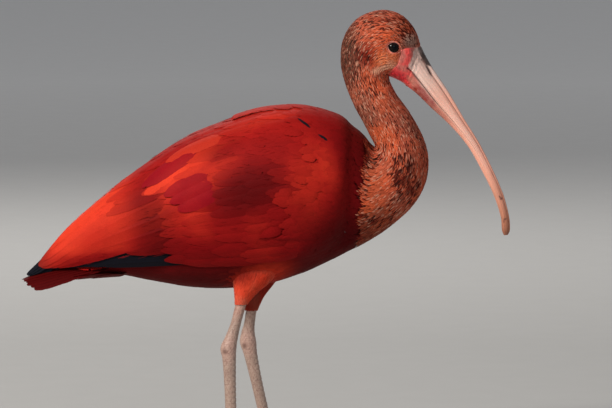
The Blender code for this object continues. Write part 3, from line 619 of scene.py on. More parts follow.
def feathers(coat, sheet, form, paths, half, root_lift, height, tint, seed, tilt=0.0, tip_rise=0.0,
             camber=0.04, flat=0.0, dark_root=0.55, pale_edge=0.0, rise_share=0.35, field=None,
             field_share=0.0, own_side=False):
    """Grows vanes along paths on a sheet.

    half, height, tip_rise and tilt are one number or one for each feather; tint is a colour for
    each. flat is how far a vane keeps to a plane of its own instead of the sheet's curve. field
    gives colours by place, mixed in by field_share; own_side keeps vanes on the left of the middle.
    """
    shape = FORMS[form]
    dice = np.random.default_rng(seed)
    ts, angles = paths
    count, stations = ts.shape
    columns = np.array(shape["columns"], float)
    rows, full = shape["rows"], shape["rows"] - 1
    centre = len(columns) // 2

    def each(value):
        """A number for each feather, to go with its rows and columns."""
        return (value * np.ones(count))[:, None, None]

    half, height, tip_rise, tilt, root_lift = (
        each(value) for value in (half, height, tip_rise, tilt, root_lift))
    # Places u along the vane and offsets across it, with a slanted, ragged and notched edge.
    q = 1 - (1 - np.linspace(0, 1, rows)) ** shape["tip_rows"]
    places = sheet.point(ts, angles)
    length = norm(places[:, 1:] - places[:, :-1]).sum(1)
    slant = shape["slant"] * half / each(length)
    reach = np.abs(columns)
    u = q[None, :, None] + slant * reach * (1 - q[None, :, None])
    edge_u = q[None, :] + slant[:, :, 0] * (1 - q[None, :])
    outline = np.array(shape["outline"])
    wide = np.interp(edge_u, outline[:, 0], outline[:, 1])
    ragged = 1 + shape["fray"] * (dice.random((count, rows, 2)) - 0.6)
    ragged *= 1 - 0.4 * (dice.random((count, rows, 2)) < shape["notch"])
    side_rag = np.where(columns < 0, ragged[..., :1], ragged[..., 1:])
    side_rag = 1 + (side_rag - 1) * reach ** 4
    offset = columns * wide[..., None] * side_rag * half
    u = u + (dice.random(u.shape) - 0.5) * shape["fray"] * 0.06 * reach ** 2
    u = np.clip(u, 0, 1)
    u[:, full] = 1.0
    offset[:, full] = 0.0
    # The path's own places there, the way it runs, and the surface beside it.
    k = np.clip((u * (stations - 1)).astype(int), 0, stations - 2)
    f = u * (stations - 1) - k
    rank = np.arange(count)[:, None, None]
    t_mid, a_mid = (x[rank, k] * (1 - f) + x[rank, k + 1] * f for x in (ts, angles))
    along, across, normal = sheet.frame(t_mid, a_mid)
    way = (ts[rank, k + 1] - ts[rank, k])[..., None] * along
    way = unit(way + (angles[rank, k + 1] - angles[rank, k])[..., None] * across)
    sin_h, cos_h = (way * unit(across)).sum(-1), (way * unit(along)).sum(-1)
    dt = sheet.hand * sin_h * offset / np.maximum(norm(along), LEAST_ALONG)
    da = -sheet.hand * cos_h * offset / np.maximum(norm(across), LEAST_ACROSS)
    middle = sheet.point(t_mid, a_mid)
    plane = middle + np.cross(way, normal) * offset[..., None]
    curved = sheet.point(t_mid + dt, a_mid + da)
    points = curved * (1 - flat) + plane * flat
    normal = unit(sheet.frame(t_mid + dt, a_mid + da)[2] * (1 - flat) + normal * flat)
    # Height over the surface: rising from the root, cambered, with ridges and a shaft.
    lift = root_lift + (height - root_lift) * smooth(0, rise_share, u)
    lift = lift + tip_rise * u ** 2 + np.tan(np.radians(tilt)) * offset
    lift = lift - camber * half * (offset / half) ** 2
    ridges = shape["relief"] * (dice.random((count, rows, len(columns))) - 0.5)
    lift = lift + ridges * (reach > 0) * smooth(0.0, 0.2, u) * (1 - 0.5 * reach)
    lift = lift + shape["shaft"] * (reach < 0.01) * (1 - 0.75 * u)
    points = points + normal * lift[..., None]
    spine = normal[:, :full, centre]
    low = points[:, :full, centre] - spine * shape["thickness"]
    low = low - spine * (shape["shaft"] * (1 - 0.75 * u[:, :full, centre]))[..., None]
    tip = points[:, full, centre][:, None]
    cloud = np.concatenate([points[:, :full].reshape(count, -1, 3), low, tip], 1)
    if own_side:
        cloud[..., 1] = np.maximum(cloud[..., 1], 0.15)

    def gathered(values):
        """Values of rows and columns, in the order of the cloud's points."""
        values = np.broadcast_to(values, u.shape)
        return np.concatenate([values[:, :full].reshape(count, -1), values[:, :full, centre],
                               values[:, full:, centre]], 1)

    u_all, reach_all = gathered(u), gathered(reach)
    # Painted shade: each vane darkens towards its root, where the vanes over it would shade it.
    shade = mixed(dark_root, 1.0, smooth(0.1, 0.7, u_all)) * (1 + pale_edge * reach_all ** 2)
    colour = tint[:, None, :] + np.zeros(u_all.shape + (1,))
    if field is not None:
        colour = colour * (1 - field_share) + field(cloud) * field_share
    barb = gathered(q[None, :, None]) * length[:, None] + 50 * dice.random((count, 1))
    (t0, t1), (a0, a1) = sheet.t_range, sheet.a_range
    base = np.stack([(ts[:, 0] - t0) / (t1 - t0), (angles[:, 0] % 360 - a0) / (a1 - a0)], -1)
    base = BAKE_MARGIN + BAKE_SPAN * np.clip(base, 0, 1)
    local = np.stack([u_all - 0.5, gathered(columns) / 2], -1) * BAKE_PATCH
    coat.add(cloud, colour * shade[..., None], barb, base[:, None] + local,
             face_template(rows, len(columns)))


# The bare face in the bird's side view, as x and z round its edge.
BARE_FACE = np.array([
    (96.8, 304.0), (100.2, 305.2), (104.6, 305.6), (108.4, 305.4), (113.5, 306.6), (113.5, 276.0),
    (97.4, 278.2), (90.6, 282.2), (87.9, 286.0), (91.4, 290.6), (94.6, 294.2), (95.4, 297.4),
    (96.6, 300.0),
])


def depth_inside(outline, x, z):
    """How far points lie inside an outline, negative outside."""
    sides = list(zip(outline, np.roll(outline, -1, 0)))
    best = np.minimum.reduce([gap_to(x, z, *ends) for ends in sides])
    inside = np.zeros(x.shape, bool)
    for (x0, z0), (x1, z1) in sides:
        if z0 != z1:
            inside ^= ((z0 > z) != (z1 > z)) & (x < (x1 - x0) * (z - z0) / (z1 - z0) + x0)
    return np.where(inside, best, -best)


def bareness(p):
    """1 on the bare face and 0 off it."""
    return smooth(-0.5, 0.6, depth_inside(BARE_FACE, p[..., 0], p[..., 2]))


def spot(p, x, z, size_x, size_z, tilt=0.0, edge=1.0):
    """A soft oval marking in the bird's side view: 1 in its middle and 0 beyond its rim."""
    c, s = math.cos(math.radians(tilt)), math.sin(math.radians(tilt))
    dx, dz = p[..., 0] - x, p[..., 2] - z
    far = np.hypot((dx * c + dz * s) / size_x, (-dx * s + dz * c) / size_z)
    return 1 - smooth(1 - edge * 0.6, 1 + edge * 0.6, far)


def spots(p, rows):
    """The strongest of some spots: rows of a strength and then what spot takes."""
    return np.maximum.reduce([strength * spot(p, *row) for strength, *row in rows])


# Spots of the wings and body: orange that is partly real and partly painted light, crimson that is
# partly real and partly painted shade, and the deepest red, which is painted shade.
WING_ORANGE_AND_LIGHT = (
    (1, -134, 184, 36, 16, 42), (0.9, -54, 223, 22, 8, 35), (0.8, -72, 206, 16, 9, 30),
    (0.7, -40, 214, 22, 9, 30), (0.6, -50, 190, 8, 20, 20), (0.45, 28, 210, 12, 20, 20),
    (0.4, 0, 172, 9, 22, 25), (0.6, 46, 224, 7, 16, 10), (0.4, -20, 252, 50, 5, 12),
    (0.4, 30, 180, 8, 24, -25),
)
WING_CRIMSON_AND_SHADE = (
    (0.95, -78, 184, 11, 30, 14, 1.3), (1, -10, 206, 32, 21, 20, 1.5),
    (1, -46, 160, 44, 13, 0, 1.5), (0.9, -118, 155, 34, 5, 8), (0.75, 6, 188, 24, 14, -20, 1.3),
    (0.9, 62, 232, 14, 30, 30, 1.3), (0.85, 24, 162, 44, 18, -25, 1.3),
    (0.6, -40, 252, 60, 10, 24, 1.3), (0.5, -118, 168, 20, 12, 30, 1.4),
    (0.5, -40, 180, 12, 22, 25, 1.3),
)
WING_DEEP_SHADE = ((1, -10, 206, 22, 15, 20, 1.5), (1, -79, 176, 13, 24, 16, 1.5),
             (0.6, -32, 233, 16, 6, 15, 1.5))
# Spots of head and neck: grey, bright, with many or few dark tufts, and shaded.
HEAD_GREY = ((1, 59, 298, 10, 28, -6, 1.3), (0.8, 66, 270, 9, 22, 20, 1.3),
             (0.4, 84, 262, 16, 10, 20, 1.3), (0.4, 70, 318, 15, 9, 30, 1.3),
             (0.4, 104, 250, 9, 20, 20, 1.3))
HEAD_BRIGHT = ((1, 88, 298.5, 9, 5, -15, 1.2), (0.9, 81, 246, 10, 7, 10, 1.2),
               (0.9, 63, 205, 5, 22, -4, 1.2), (0.5, 80, 208, 12, 18, 0, 1.3),
               (0.5, 86, 316, 14, 7, -10, 1.3))
# The dark-tuft spots at the front of the neck, near x 101 and x 84, are partly real streaks and
# partly painted shade.
HEAD_DARK = ((0.62, 103, 319, 10, 13, -30, 1.2), (0.44, 82, 326, 22, 9, -5, 1.3),
             (0.52, 60, 300, 11, 30, -5, 1.3), (0.50, 72, 278, 13, 14, 20, 1.3),
             (0.66, 74, 228, 10, 11, 0, 1.2), (0.60, 101, 214, 12, 26, 15, 1.3),
             (0.46, 72, 302, 8, 6, -20), (0.45, 84, 190, 22, 14, 20, 1.3))
HEAD_LIGHT = ((1.06, 88, 298, 11, 6.5, -15), (1.08, 84.5, 291.4, 10, 3.4, 6),
              (0.7, 81, 246, 9, 6), (0.5, 84, 312, 9, 5), (0.7, 63, 205, 5, 20),
              (0.45, 80, 204, 10, 14))
HEAD_SHADE = ((0.30, 82, 250, 18, 22, 10, 1.3), (0.42, 58, 300, 8, 26, -5, 1.3),
              (0.56, 72, 170, 30, 17, 28, 1.3))
DARK_SHARE = 0.34
BILL_MARKS = ((1, 169.2, 196.4, 1.1, 0.8, 40, 0.8), (1, 168.2, 197.6, 0.5, 1.2, 30, 0.8),
              (1, 172.0, 181.6, 1.2, 0.7, 30, 0.8), (1, 171.2, 180.0, 0.4, 1.4, 0, 0.8))


def wing_colour(p):
    """The red of the wings and body at points p: scarlet with orange and crimson parts that are
    partly real and partly painted light and shade.
    """
    x, fine = p[..., 0], noise(p, (8, 30, 5), 6)
    # The orange over the rear of the wing is partly real and partly painted light.
    rear = smooth(-84, -112, x) * smooth(150, 162, p[..., 2]) * 0.85
    orange = np.maximum(rear, spots(p, WING_ORANGE_AND_LIGHT))
    # Painted shade: crimson and the deepest red grow towards the shoulders, past x 50 mm.
    crimson = np.maximum(smooth(50, 68, x) * 0.85, spots(p, WING_CRIMSON_AND_SHADE))
    deep = np.maximum(smooth(52, 70, x) * 0.8, spots(p, WING_DEEP_SHADE))
    colour = layered(
        SCARLET, (CRIMSON, smooth(0.5, 0.95, noise(p, (24, 60, 14), 5)) * 0.55),
        (ORANGE_RED, np.clip(orange * (0.75 + 0.5 * fine), 0, 1)),
        (CRIMSON, np.clip(crimson * (0.85 + 0.35 * fine), 0, 1)), (DEEP_SHADE_RED, deep * 0.86))
    # Painted shade: outside the orange, lit parts the red is darkened by up to a third.
    colour = colour * mixed(0.66, 1.0, np.clip(orange, 0, 1))[..., None]
    return mixed(colour, TIP_BLACK, smooth(-149, -164, x) * 0.85)


def belly_colour(p):
    """The body's red with painted shade: darker under the belly, towards the vent and at the front
    of the breast, with a brighter flank.
    """
    x, z = p[..., 0], p[..., 2]
    return layered(
        wing_colour(p), (CRIMSON, 0.45 * smooth(215, 170, z)),
        (SHADE_RED, smooth(172, 142, z) * 0.85),
        (SHADE_RED, smooth(15, 55, x) * smooth(208, 168, z) * 0.85),
        (ORANGE_RED, spot(p, 4, 144, 15, 9, 20, 1.2) * 0.8))


def neck_share(t, p):
    """1 where the coat is the neck's mottled salmon, 0 where it is the body's red."""
    wander = noise(p, 7.0, 21) * 0.5 - 0.25
    return smooth(8.35, 8.9, t + wander)


def head_colour(p):
    """Ground colour of head and neck, how much of it is dark streaks, and how grey the dark is."""
    grey = spots(p, HEAD_GREY)
    colour = layered(
        SALMON, (ORANGE, 0.6 * smooth(0.35, 0.8, noise(p, (9.0, 9.0, 12.0), 31))),
        (DUSKY_PINK, smooth(0.62, 0.25, noise(p, (7.0, 7.0, 10.0), 32)) * 0.5),
        (PINK_GREY, grey * 0.75), (ORANGE, spots(p, HEAD_BRIGHT) * 0.85),
        (CHEEK, spot(p, 88.0, 297.6, 8.5, 5.0, -15, 1.0)),
        (RUST_RED, spot(p, 73.5, 302.5, 7.5, 6.5, -20, 1.2) * 0.9),
        (CREAM, spot(p, 84.6, 291.8, 8.8, 1.9, 6, 0.6)),
        (CREAM, spot(p, 91.0, 294.6, 3.0, 2.0, -30, 0.8) * 0.6),
        (GREY_WHITE, spot(p, 104.4, 309.4, 4.6, 4.6, 0, 1.1) * 0.85))
    shade = np.maximum(0.16 * smooth(280, 255, p[..., 2]), spots(p, HEAD_SHADE))
    dark = np.maximum(DARK_SHARE, spots(p, HEAD_DARK)) * (1 - 0.92 * spots(p, HEAD_LIGHT))
    return colour * (1 - shade)[..., None], dark, grey


def horn_share(p):
    """Where the bare face turns to horn: over the bill's upper base, with an uneven border."""
    wander = 1.6 * (noise(p, (1.6, 1.6, 1.6), 42) - 0.5) + 0.8 * (noise(p, 0.7, 43) - 0.5)
    over_rim = (p[..., 0] - 103.6) * 0.76 + (p[..., 2] - 289.6) * 0.65
    above = smooth(-0.8, 0.8, over_rim + wander * 0.5)
    up = p[..., 2] - 291
    return smooth(-1.1, 1.1, p[..., 0] - 101.7 - np.where(up > 0, 0.40, 0.16) * up + wander) * above


def culmen_shadow(p):
    """A painted shadow along the ridge of the culmen's base, in a wedge that narrows forwards."""
    (x0, z0), (x1, z1) = (111.0, 306.2), (120.0, 290.2)
    ex, ez = x1 - x0, z1 - z0
    run = ((p[..., 0] - x0) * ex + (p[..., 2] - z0) * ez) / (ex * ex + ez * ez)
    off = np.abs((p[..., 0] - x0) * ez - (p[..., 2] - z0) * ex) / math.hypot(ex, ez)
    width = 2.4 + 1.7 * smooth(0.0, 0.5, run) - 3.6 * smooth(0.55, 1.0, run)
    width = width + 0.9 * (noise(p, (1.2, 3.0, 1.2), 47) - 0.5)
    return smooth(0.7, -0.7, off - width) * smooth(1.1, 0.95, run) * 0.88


def bare_colour(p):
    """Rosy skin of the face, deeper towards the gape and paler where it turns to horn."""
    mottle = noise(p, 2.2, 41)
    lower = mixed(CHIN_PINK, CHIN_BROWN, smooth(0.4, 0.75, noise(p, (2.6, 2.6, 1.6), 48)))
    horn = layered(HORN_GREY,
                   (HORN_WHITE, 0.8 * smooth(0.3, 0.8, noise(p, (2.5, 2.5, 4.0), 45))),
                   (GROOVE_BROWN, spot(p, 105.3, 293.6, 2.4, 0.5, 52, 1.0) * 0.45))
    return layered(
        ROSY, (ROSE_DEEP, np.maximum(spot(p, 94, 284.5, 8, 4.5, -25), 0.6 * mottle ** 2)),
        (ROSY_PALE, spots(p, ((1, 97, 299, 2.6, 4, 0, 1.3), (1, 98, 291, 4, 2, -30, 1.3))) * 0.6),
        (CORNER_BROWN, spot(p, 104.2, 282.0, 4.0, 1.8, -48, 1.2) * 0.7),
        (ROSY_PALE, smooth(0.55, 0.85, noise(p, 3.4, 44)) * 0.4),
        (lower, smooth(102.0, 106.5, p[..., 0] + 2.0 * (mottle - 0.5)) * 0.85),
        # A painted shadow lies along the culmen's base.
        (horn, horn_share(p) * 0.92), (CULMEN_SHADOW, culmen_shadow(p)))


def skin_colour(t, p):
    """The skin carries the coat's markings, and the bare face its own."""
    ground, dark, _grey = head_colour(p)
    ground = mixed(ground, DARK_BROWN, dark * 0.5)
    colour = mixed(belly_colour(p) * 0.6, ground * 0.8, neck_share(t, p))
    return mixed(colour, bare_colour(p), bareness(p))


# Steps whose multiples, less their whole parts, fill a square evenly.
EVEN_STEPS = (0.7548776662466927, 0.5698402909980532)


def scattered(sheet, t_range, spacing, seed, keep=None):
    """Places spread evenly over a sheet: spacing is a function of t and point, in mm."""
    rows, columns = 240, 120
    t_edges = np.linspace(*t_range, rows + 1)
    a_edges = np.linspace(*sheet.a_range, columns + 1)
    step_t, step_a = t_edges[1] - t_edges[0], a_edges[1] - a_edges[0]
    tt, aa = crossed((t_edges[1:] + t_edges[:-1]) / 2, (a_edges[1:] + a_edges[:-1]) / 2)
    along, across, _n = sheet.frame(tt, aa)
    area = norm(np.cross(along, across)) * step_t * step_a
    density = area / spacing(tt, sheet.point(tt, aa)) ** 2
    count = int(density.sum())
    order = np.arange(1, count + 1)
    first, second = ((0.5 + order * step) % 1 for step in EVEN_STEPS)
    in_row = density.sum(1)
    t = np.interp(first, np.concatenate([[0], np.cumsum(in_row)]) / in_row.sum(), t_edges)
    row = np.clip(np.searchsorted(t_edges, t) - 1, 0, rows - 1)
    so_far = np.concatenate([np.zeros((rows, 1)), np.cumsum(density, 1)], 1)
    so_far /= so_far[:, -1:]
    cell = np.clip((so_far[row] <= second[:, None]).sum(1) - 1, 0, columns - 1)
    low, high = so_far[row, cell], so_far[row, cell + 1]
    a = a_edges[cell] + (second - low) / np.maximum(high - low, 1e-9) * step_a
    dice = np.random.default_rng(seed)
    local = spacing(t, sheet.point(t, a))
    along, across, _n = sheet.frame(t, a)
    t = t + (dice.random(count) - 0.5) * 0.5 * local / np.maximum(norm(along), LEAST_ALONG)
    a = a + (dice.random(count) - 0.5) * 0.5 * local / np.maximum(norm(across), LEAST_ACROSS)
    t = np.clip(t, *t_range)
    if keep is None:
        return t, a
    kept = keep(t, a, sheet.point(t, a))
    return t[kept], a[kept]


def varied(colour, dice, amount):
    """Each feather a little lighter or darker than its neighbours."""
    return colour * (1 + amount * (dice.random((len(colour), 1)) - 0.5) * 2)


def eye_axes():
    """Centre of the left eye, and the ways out, forward and up."""
    t, a = np.array(EYE_T), np.array(EYE_ANGLE)
    out = BODY.frame(t, a)[2]
    centre = body_point(t, a) - out * EYE_SINK
    ahead = unit(np.array([1.0, 0, 0]) - out * out[0])
    up = np.cross(ahead, out)
    c, s = math.cos(math.radians(EYE_SLANT)), math.sin(math.radians(EYE_SLANT))
    return centre, out, ahead * c + up * s, up * c - ahead * s


EYE_CENTRE, EYE_OUT, EYE_AHEAD, EYE_UP = eye_axes()


def eye_reach(p):
    """How far points are from the nearer eye, where 1 is the rim of its opening."""
    q = np.stack([p[..., 0], np.abs(p[..., 1]), p[..., 2]], -1) - EYE_CENTRE
    reach = np.hypot((q @ EYE_AHEAD) / EYE_OPENING[0], (q @ EYE_UP) / EYE_OPENING[1])
    return np.where(q @ EYE_OUT > -3.0, reach, 99.0)


HEAD_PITCH, HEAD_PITCH_MORE = 0.74, 0.28


def head_spacing(_t, p):
    """Pitch of the head's tufts, finest at the bare face and the eye."""
    near_face = smooth(0.0, 9.0, -depth_inside(BARE_FACE, p[..., 0], p[..., 2]))
    near_face = np.minimum(near_face, smooth(1.2, 3.2, eye_reach(p)))
    return HEAD_PITCH + HEAD_PITCH_MORE * near_face


def streaked(p, dice, clump, clump_share):
    """Tints of salmon tufts with dark, grey and pale ones scattered between them."""
    ground, dark, grey = head_colour(p)
    count = len(p)
    chance = clump * clump_share + dice.random(count) * (1 - clump_share)
    is_dark = chance < dark * 0.96
    tone = mixed(DARK_BROWN, RUST_RED, 0.8 * dice.random(count) ** 2)
    tone = mixed(tone, OLIVE_GREY, grey * dice.random(count))
    pale = dice.random(count) < 0.16
    ground = mixed(varied(ground, dice, 0.24), PALE_SALMON, 0.45 * pale)
    partly = 0.72 + 0.28 * (dice.random(count) < 0.6)
    return mixed(ground, tone, is_dark * partly)


def grown(parts, sheet, form, t, a, half, length, tint, dice, turn, stations, root, height, rise,
          tilt, seed, **more):
    """Loose feathers at places t and a, as one coat for each named part of them.

    turn, rise and tilt say how much headings, tips and slants vary, and height is the lowest
    height of a vane and how much more it may be.
    """
    coats = []
    for name, picked in parts:
        coat, n = Coat(), picked.sum()
        paths = sheet.walk(t[picked], a[picked], turn * (dice.random(n) - 0.5), length[picked],
                           stations)
        feathers(coat, sheet, form, paths, half[picked], root,
                 height[0] + height[1] * dice.random(n), tint[picked], seed,
                 tip_rise=rise * dice.random(n), tilt=tilt * (dice.random(n) - 0.5), **more)
        coats.append((name, coat))
    return coats


def coat_head():
    """Short stiff tufts over the head, finest round the eye and the bare face."""
    def keep(_t, _a, p):
        return (bareness(p) < 0.15 + 0.35 * noise(p, 1.3, 46)) & (eye_reach(p) > FACE_CLEAR)

    t, a = scattered(BODY, (16.4, HEAD_END - 0.02), head_spacing, 101, keep)
    p = BODY.point(t, a)
    dice = np.random.default_rng(102)
    clump = noise(np.stack([t * 9, a * 0.35, 0 * a], -1), (2.2, 0.9, 1.0), 51)
    tint = streaked(p, dice, clump, 0.5)
    size = (head_spacing(t, p) - HEAD_PITCH) / HEAD_PITCH_MORE
    length = mixed(1.9, 3.9, size) * (0.8 + 0.4 * dice.random(len(t)))
    parts = (("head_tufts_rear", t < 19.2), ("head_tufts_front", t >= 19.2))
    return grown(parts, BODY, "tuft", t, a, mixed(0.28, 0.40, size), length, tint, dice, 18, 4,
                 -0.95, (0.0, 0.25), 0.35, 10, 103, dark_root=0.75)


def coat_neck():
    """Narrow neck feathers: a little broader at the neck's base, hairlike up the nape."""
    t, a = scattered(BODY, (8.2, 16.9), lambda t, _p: mixed(1.22, 1.06, smooth(8.6, 13.0, t)), 111)
    p = BODY.point(t, a)
    dice = np.random.default_rng(112)
    kept = neck_share(t, p) > 0.3 + 0.4 * dice.random(len(t))
    t, a, p = t[kept], a[kept], p[kept]
    size, clear = smooth(13.5, 8.8, t), smooth(8.4, 10.0, t)
    clump = mixed(noise(p, (1.5, 1.5, 3.4), 52), noise(p, (2.8, 2.8, 3.4), 53), size)
    tint = streaked(p, dice, clump, 0.6)
    reddish = smooth(9.5, 8.5, t) * dice.random(len(t))
    tint = mixed(tint, RUST_RED, smooth(0.35, 0.8, reddish))
    length = mixed(4.4, 6.0, size) * (0.8 + 0.4 * dice.random(len(t))) * mixed(0.6, 1.0, clear)
    half = mixed(0.46, 0.78, size) * mixed(0.75, 1.0, clear)
    parts = (("neck_tufts_upper", t > 12.0), ("neck_tufts_lower", t <= 12.0))
    return grown(parts, SHOULDERS, "tuft", t, a, half, length, tint, dice, 16, 4, -1.2,
                 (0.0, 0.22), 0.25, 6, 113, dark_root=0.85)


def coat_body():
    """Soft rounded feathers of the mantle, breast, belly, flanks and vent."""
    def keep(t, a, p):
        turn = from_back(a)
        edge = 6.0 + 1.5 * noise(p, (12, 12, 8), 124)
        edge = edge - 0.7 * hashed(*np.round(p * 9).astype(int).T, 125)
        under_wing = (t > 2.0) & (t < edge) & (turn > 12) & (turn < 118)
        return ~under_wing & (neck_share(t, p) < 0.8)

    t, a = scattered(BODY, (0.35, 9.4), lambda t, _p: mixed(4.0, 2.6, smooth(6.5, 9.2, t)), 121,
                     keep)
    dice = np.random.default_rng(122)
    tint = varied(belly_colour(BODY.point(t, a)), dice, 0.12)
    size = smooth(9.5, 6.0, t)
    length = mixed(9.0, 17.0, size) * (0.8 + 0.4 * dice.random(len(t)))
    parts = (("body_feathers_front", t > 6.2), ("body_feathers_rear", t <= 6.2))
    return grown(parts, SHOULDERS, "contour", t, a, mixed(2.1, 4.2, size),
                 np.minimum(length, 9 + 7 * t), tint, dice, 20, 6, -1.5, (0.05, 0.2), 0.15, 3, 123,
                 dark_root=0.9, camber=0.08, field=belly_colour, field_share=0.5)


def coat_thigh(side):
    """Fine smooth tufts: orange-red on the leg's outer side, and deep red on its inner side as
    painted shade.
    """
    sheet = Sheet(limb_surface(on_side(THIGHS[side], SIDES[side])), 1, 1, (0.0, 3.0), (0.0, 360.0))
    t, a = scattered(sheet, (0.35, 2.8), lambda t, _p: 1.2 + 0 * t, 131)
    p = sheet.point(t, a)
    dice, count = np.random.default_rng(132), len(t)
    tint = layered(THIGH_ORANGE, (THIGH_PINK, smooth(0.3, 0.8, noise(p, (7, 7, 14), 134))),
                   (DEEP_SHADE_RED, smooth(18.0, 12.0, np.abs(p[:, 1])) * 0.75),
                   (belly_colour(p), smooth(134, 146, p[:, 2]) * 0.8))
    length = 6.0 * (0.8 + 0.4 * dice.random(count)) * mixed(1.0, 0.8, t / 3)
    coat = Coat()
    paths = sheet.walk(t, a, 14 * (dice.random(count) - 0.5), length, 4)
    feathers(coat, sheet, "tuft", paths, 0.62, -1.1, 0.25 * dice.random(count),
             varied(tint, dice, 0.10), 133, tip_rise=0.12 * dice.random(count), dark_root=0.92)
    return [(f"thigh_feathers_{side}", coat)]


# Tiers of a folded wing, from the lowest up: angles of the columns, places of root and tip,
# half width, height of the vane, how far the columns are staggered.
WING_TIERS = [
    ((10, 126, 15), 3.2, 5.5, 6.8, -1.75, 0.10),
    ((50, 130, 14), 2.7, 4.95, 6.6, -1.35, 0.12),
    ((6, 56, 6), 3.9, 6.7, 8.2, -1.35, 0.25),
    ((10, 58, 6), 3.3, 5.9, 8.0, -1.10, 0.25),
    ((46, 132, 14), 2.1, 4.15, 6.2, -0.95, 0.12),
    ((6, 54, 6), 2.5, 5.0, 7.4, -0.85, 0.22),
    ((44, 134, 15), 1.65, 3.4, 5.8, -0.65, 0.12),
    ((5, 52, 7), 1.8, 4.0, 6.6, -0.55, 0.18),
    ((40, 134, 16), 1.3, 2.8, 5.4, -0.40, 0.12),
    ((5, 50, 8), 1.2, 3.1, 6.0, -0.30, 0.15),
    ((36, 132, 17), 0.95, 2.3, 5.1, -0.20, 0.10),
    ((5, 44, 7), 0.75, 2.35, 5.4, -0.10, 0.12),
    ((32, 128, 16), 0.62, 1.8, 4.8, 0.0, 0.10),
    ((5, 40, 7), 0.4, 1.7, 5.0, 0.0, 0.10),
    ((28, 124, 17), 0.3, 1.3, 4.4, 0.1, 0.08),
    ((5, 122, 21), 0.05, 0.9, 3.8, 0.1, 0.07),
]
# Height of the upper side of those tiers, by place: towards the lower edge and along the back.
LOWER_TOPS = ((0.9, 1.8, 2.3, 2.8, 3.4, 4.15, 4.95, 5.5, 6.2, 9.0),
              (0.1, 0.0, -0.2, -0.4, -0.65, -0.95, -1.35, -1.75, -1.9, -1.9))
UPPER_TOPS = ((0.9, 1.7, 2.35, 3.1, 4.0, 5.0, 5.9, 6.7, 7.4, 9.0),
              (0.1, 0.0, -0.1, -0.3, -0.55, -0.85, -1.1, -1.35, -1.6, -1.6))
# Root place, tip place, root angle, tip angle, half width, height.
PRIMARIES = [(6.0, 9.95, 24.0, 44.0, 3.8, -3.3), (6.0, 9.9, 46.0, 62.0, 4.0, -3.35),
             (6.0, 9.85, 70.0, 80.0, 4.2, -3.4), (4.2, 9.8, 122.0, 92.0, 4.6, -3.5),
             (4.2, 9.6, 123.0, 100.0, 4.8, -3.4), (4.2, 8.3, 126.0, 117.0, 5.0, -3.3),
             (4.2, 7.7, 129.0, 122.0, 5.0, -3.1), (4.2, 7.1, 131.0, 128.0, 4.6, -2.9)]
TERTIALS = [(4.6, 8.5, 96.0, 104.0, 9.0, -2.05), (4.6, 8.8, 84.0, 92.0, 9.6, -1.95),
            (4.6, 9.05, 68.0, 78.0, 10.0, -1.85), (4.6, 9.15, 50.0, 62.0, 10.0, -1.75),
            (4.7, 9.0, 32.0, 44.0, 9.0, -1.65), (4.8, 8.7, 15.0, 26.0, 7.5, -1.55)]
# Darker and brighter feathers that stand out, with their colour.
ACCENTS = [((3.9, 5.05, 77.0, 85.0, 6.2, -0.80), CARMINE),
           ((4.0, 5.25, 69.0, 77.0, 6.4, -0.75), CARMINE),
           ((4.1, 5.4, 61.0, 69.0, 6.2, -0.70), CARMINE),
           ((4.4, 5.9, 50.0, 58.0, 6.4, -0.95), ORANGE_RED),
           ((4.3, 5.95, 36.0, 49.0, 7.4, -0.40), CARMINE),
           ((3.6, 5.35, 31.0, 36.0, 6.2, -0.35), DULL_ORANGE),
           ((1.74, 2.06, 39.5, 30.5, 1.0, 1.1), BLUE_BLACK),
           ((1.30, 1.55, 49.5, 45.0, 1.0, 1.1), BLUE_BLACK)]
WISPS = 900
# Tail coverts: sheet, seed, how many in a row, camber, colour, how much shorter and more uneven
# the outer ones are, how tints vary; then rows of root, tip, reach, half width, height.
TAIL_COVERTS = [
    (TAIL_TOP, 220, 6, 0.05, SCARLET, 1.0, 2, 1, 0.15,
     ((4.0, 33.0, 8.0, 5.2, 0.1), (-2.0, 24.0, 7.5, 4.8, 0.5), (-6.0, 15.0, 7.0, 4.4, 0.9))),
    # The under coverts' deep red, darkened a little more, is painted shade.
    (TAIL_UNDER, 230, 7, 0.08, DEEP_SHADE_RED, 0.9, 3, 2, 0.2,
     ((2.0, 42.0, 9.0, 5.4, 0.2), (-4.0, 31.0, 9.0, 5.2, 0.7), (-9.0, 20.0, 8.0, 4.8, 1.1))),
]


def straight(roots, tips, root_angles, tip_angles, stations=7):
    """Paths that run straight across a sheet's own places."""
    u = np.linspace(0, 1, stations)
    return (roots[:, None] + (tips - roots)[:, None] * u,
            root_angles[:, None] + (tip_angles - root_angles)[:, None] * u)


def wing_top(s, angle):
    """Height of the coat's upper side over the wing's form."""
    along_back = np.interp(s, *UPPER_TOPS)
    return mixed(along_back, np.interp(s, *LOWER_TOPS), smooth(48, 60, angle))


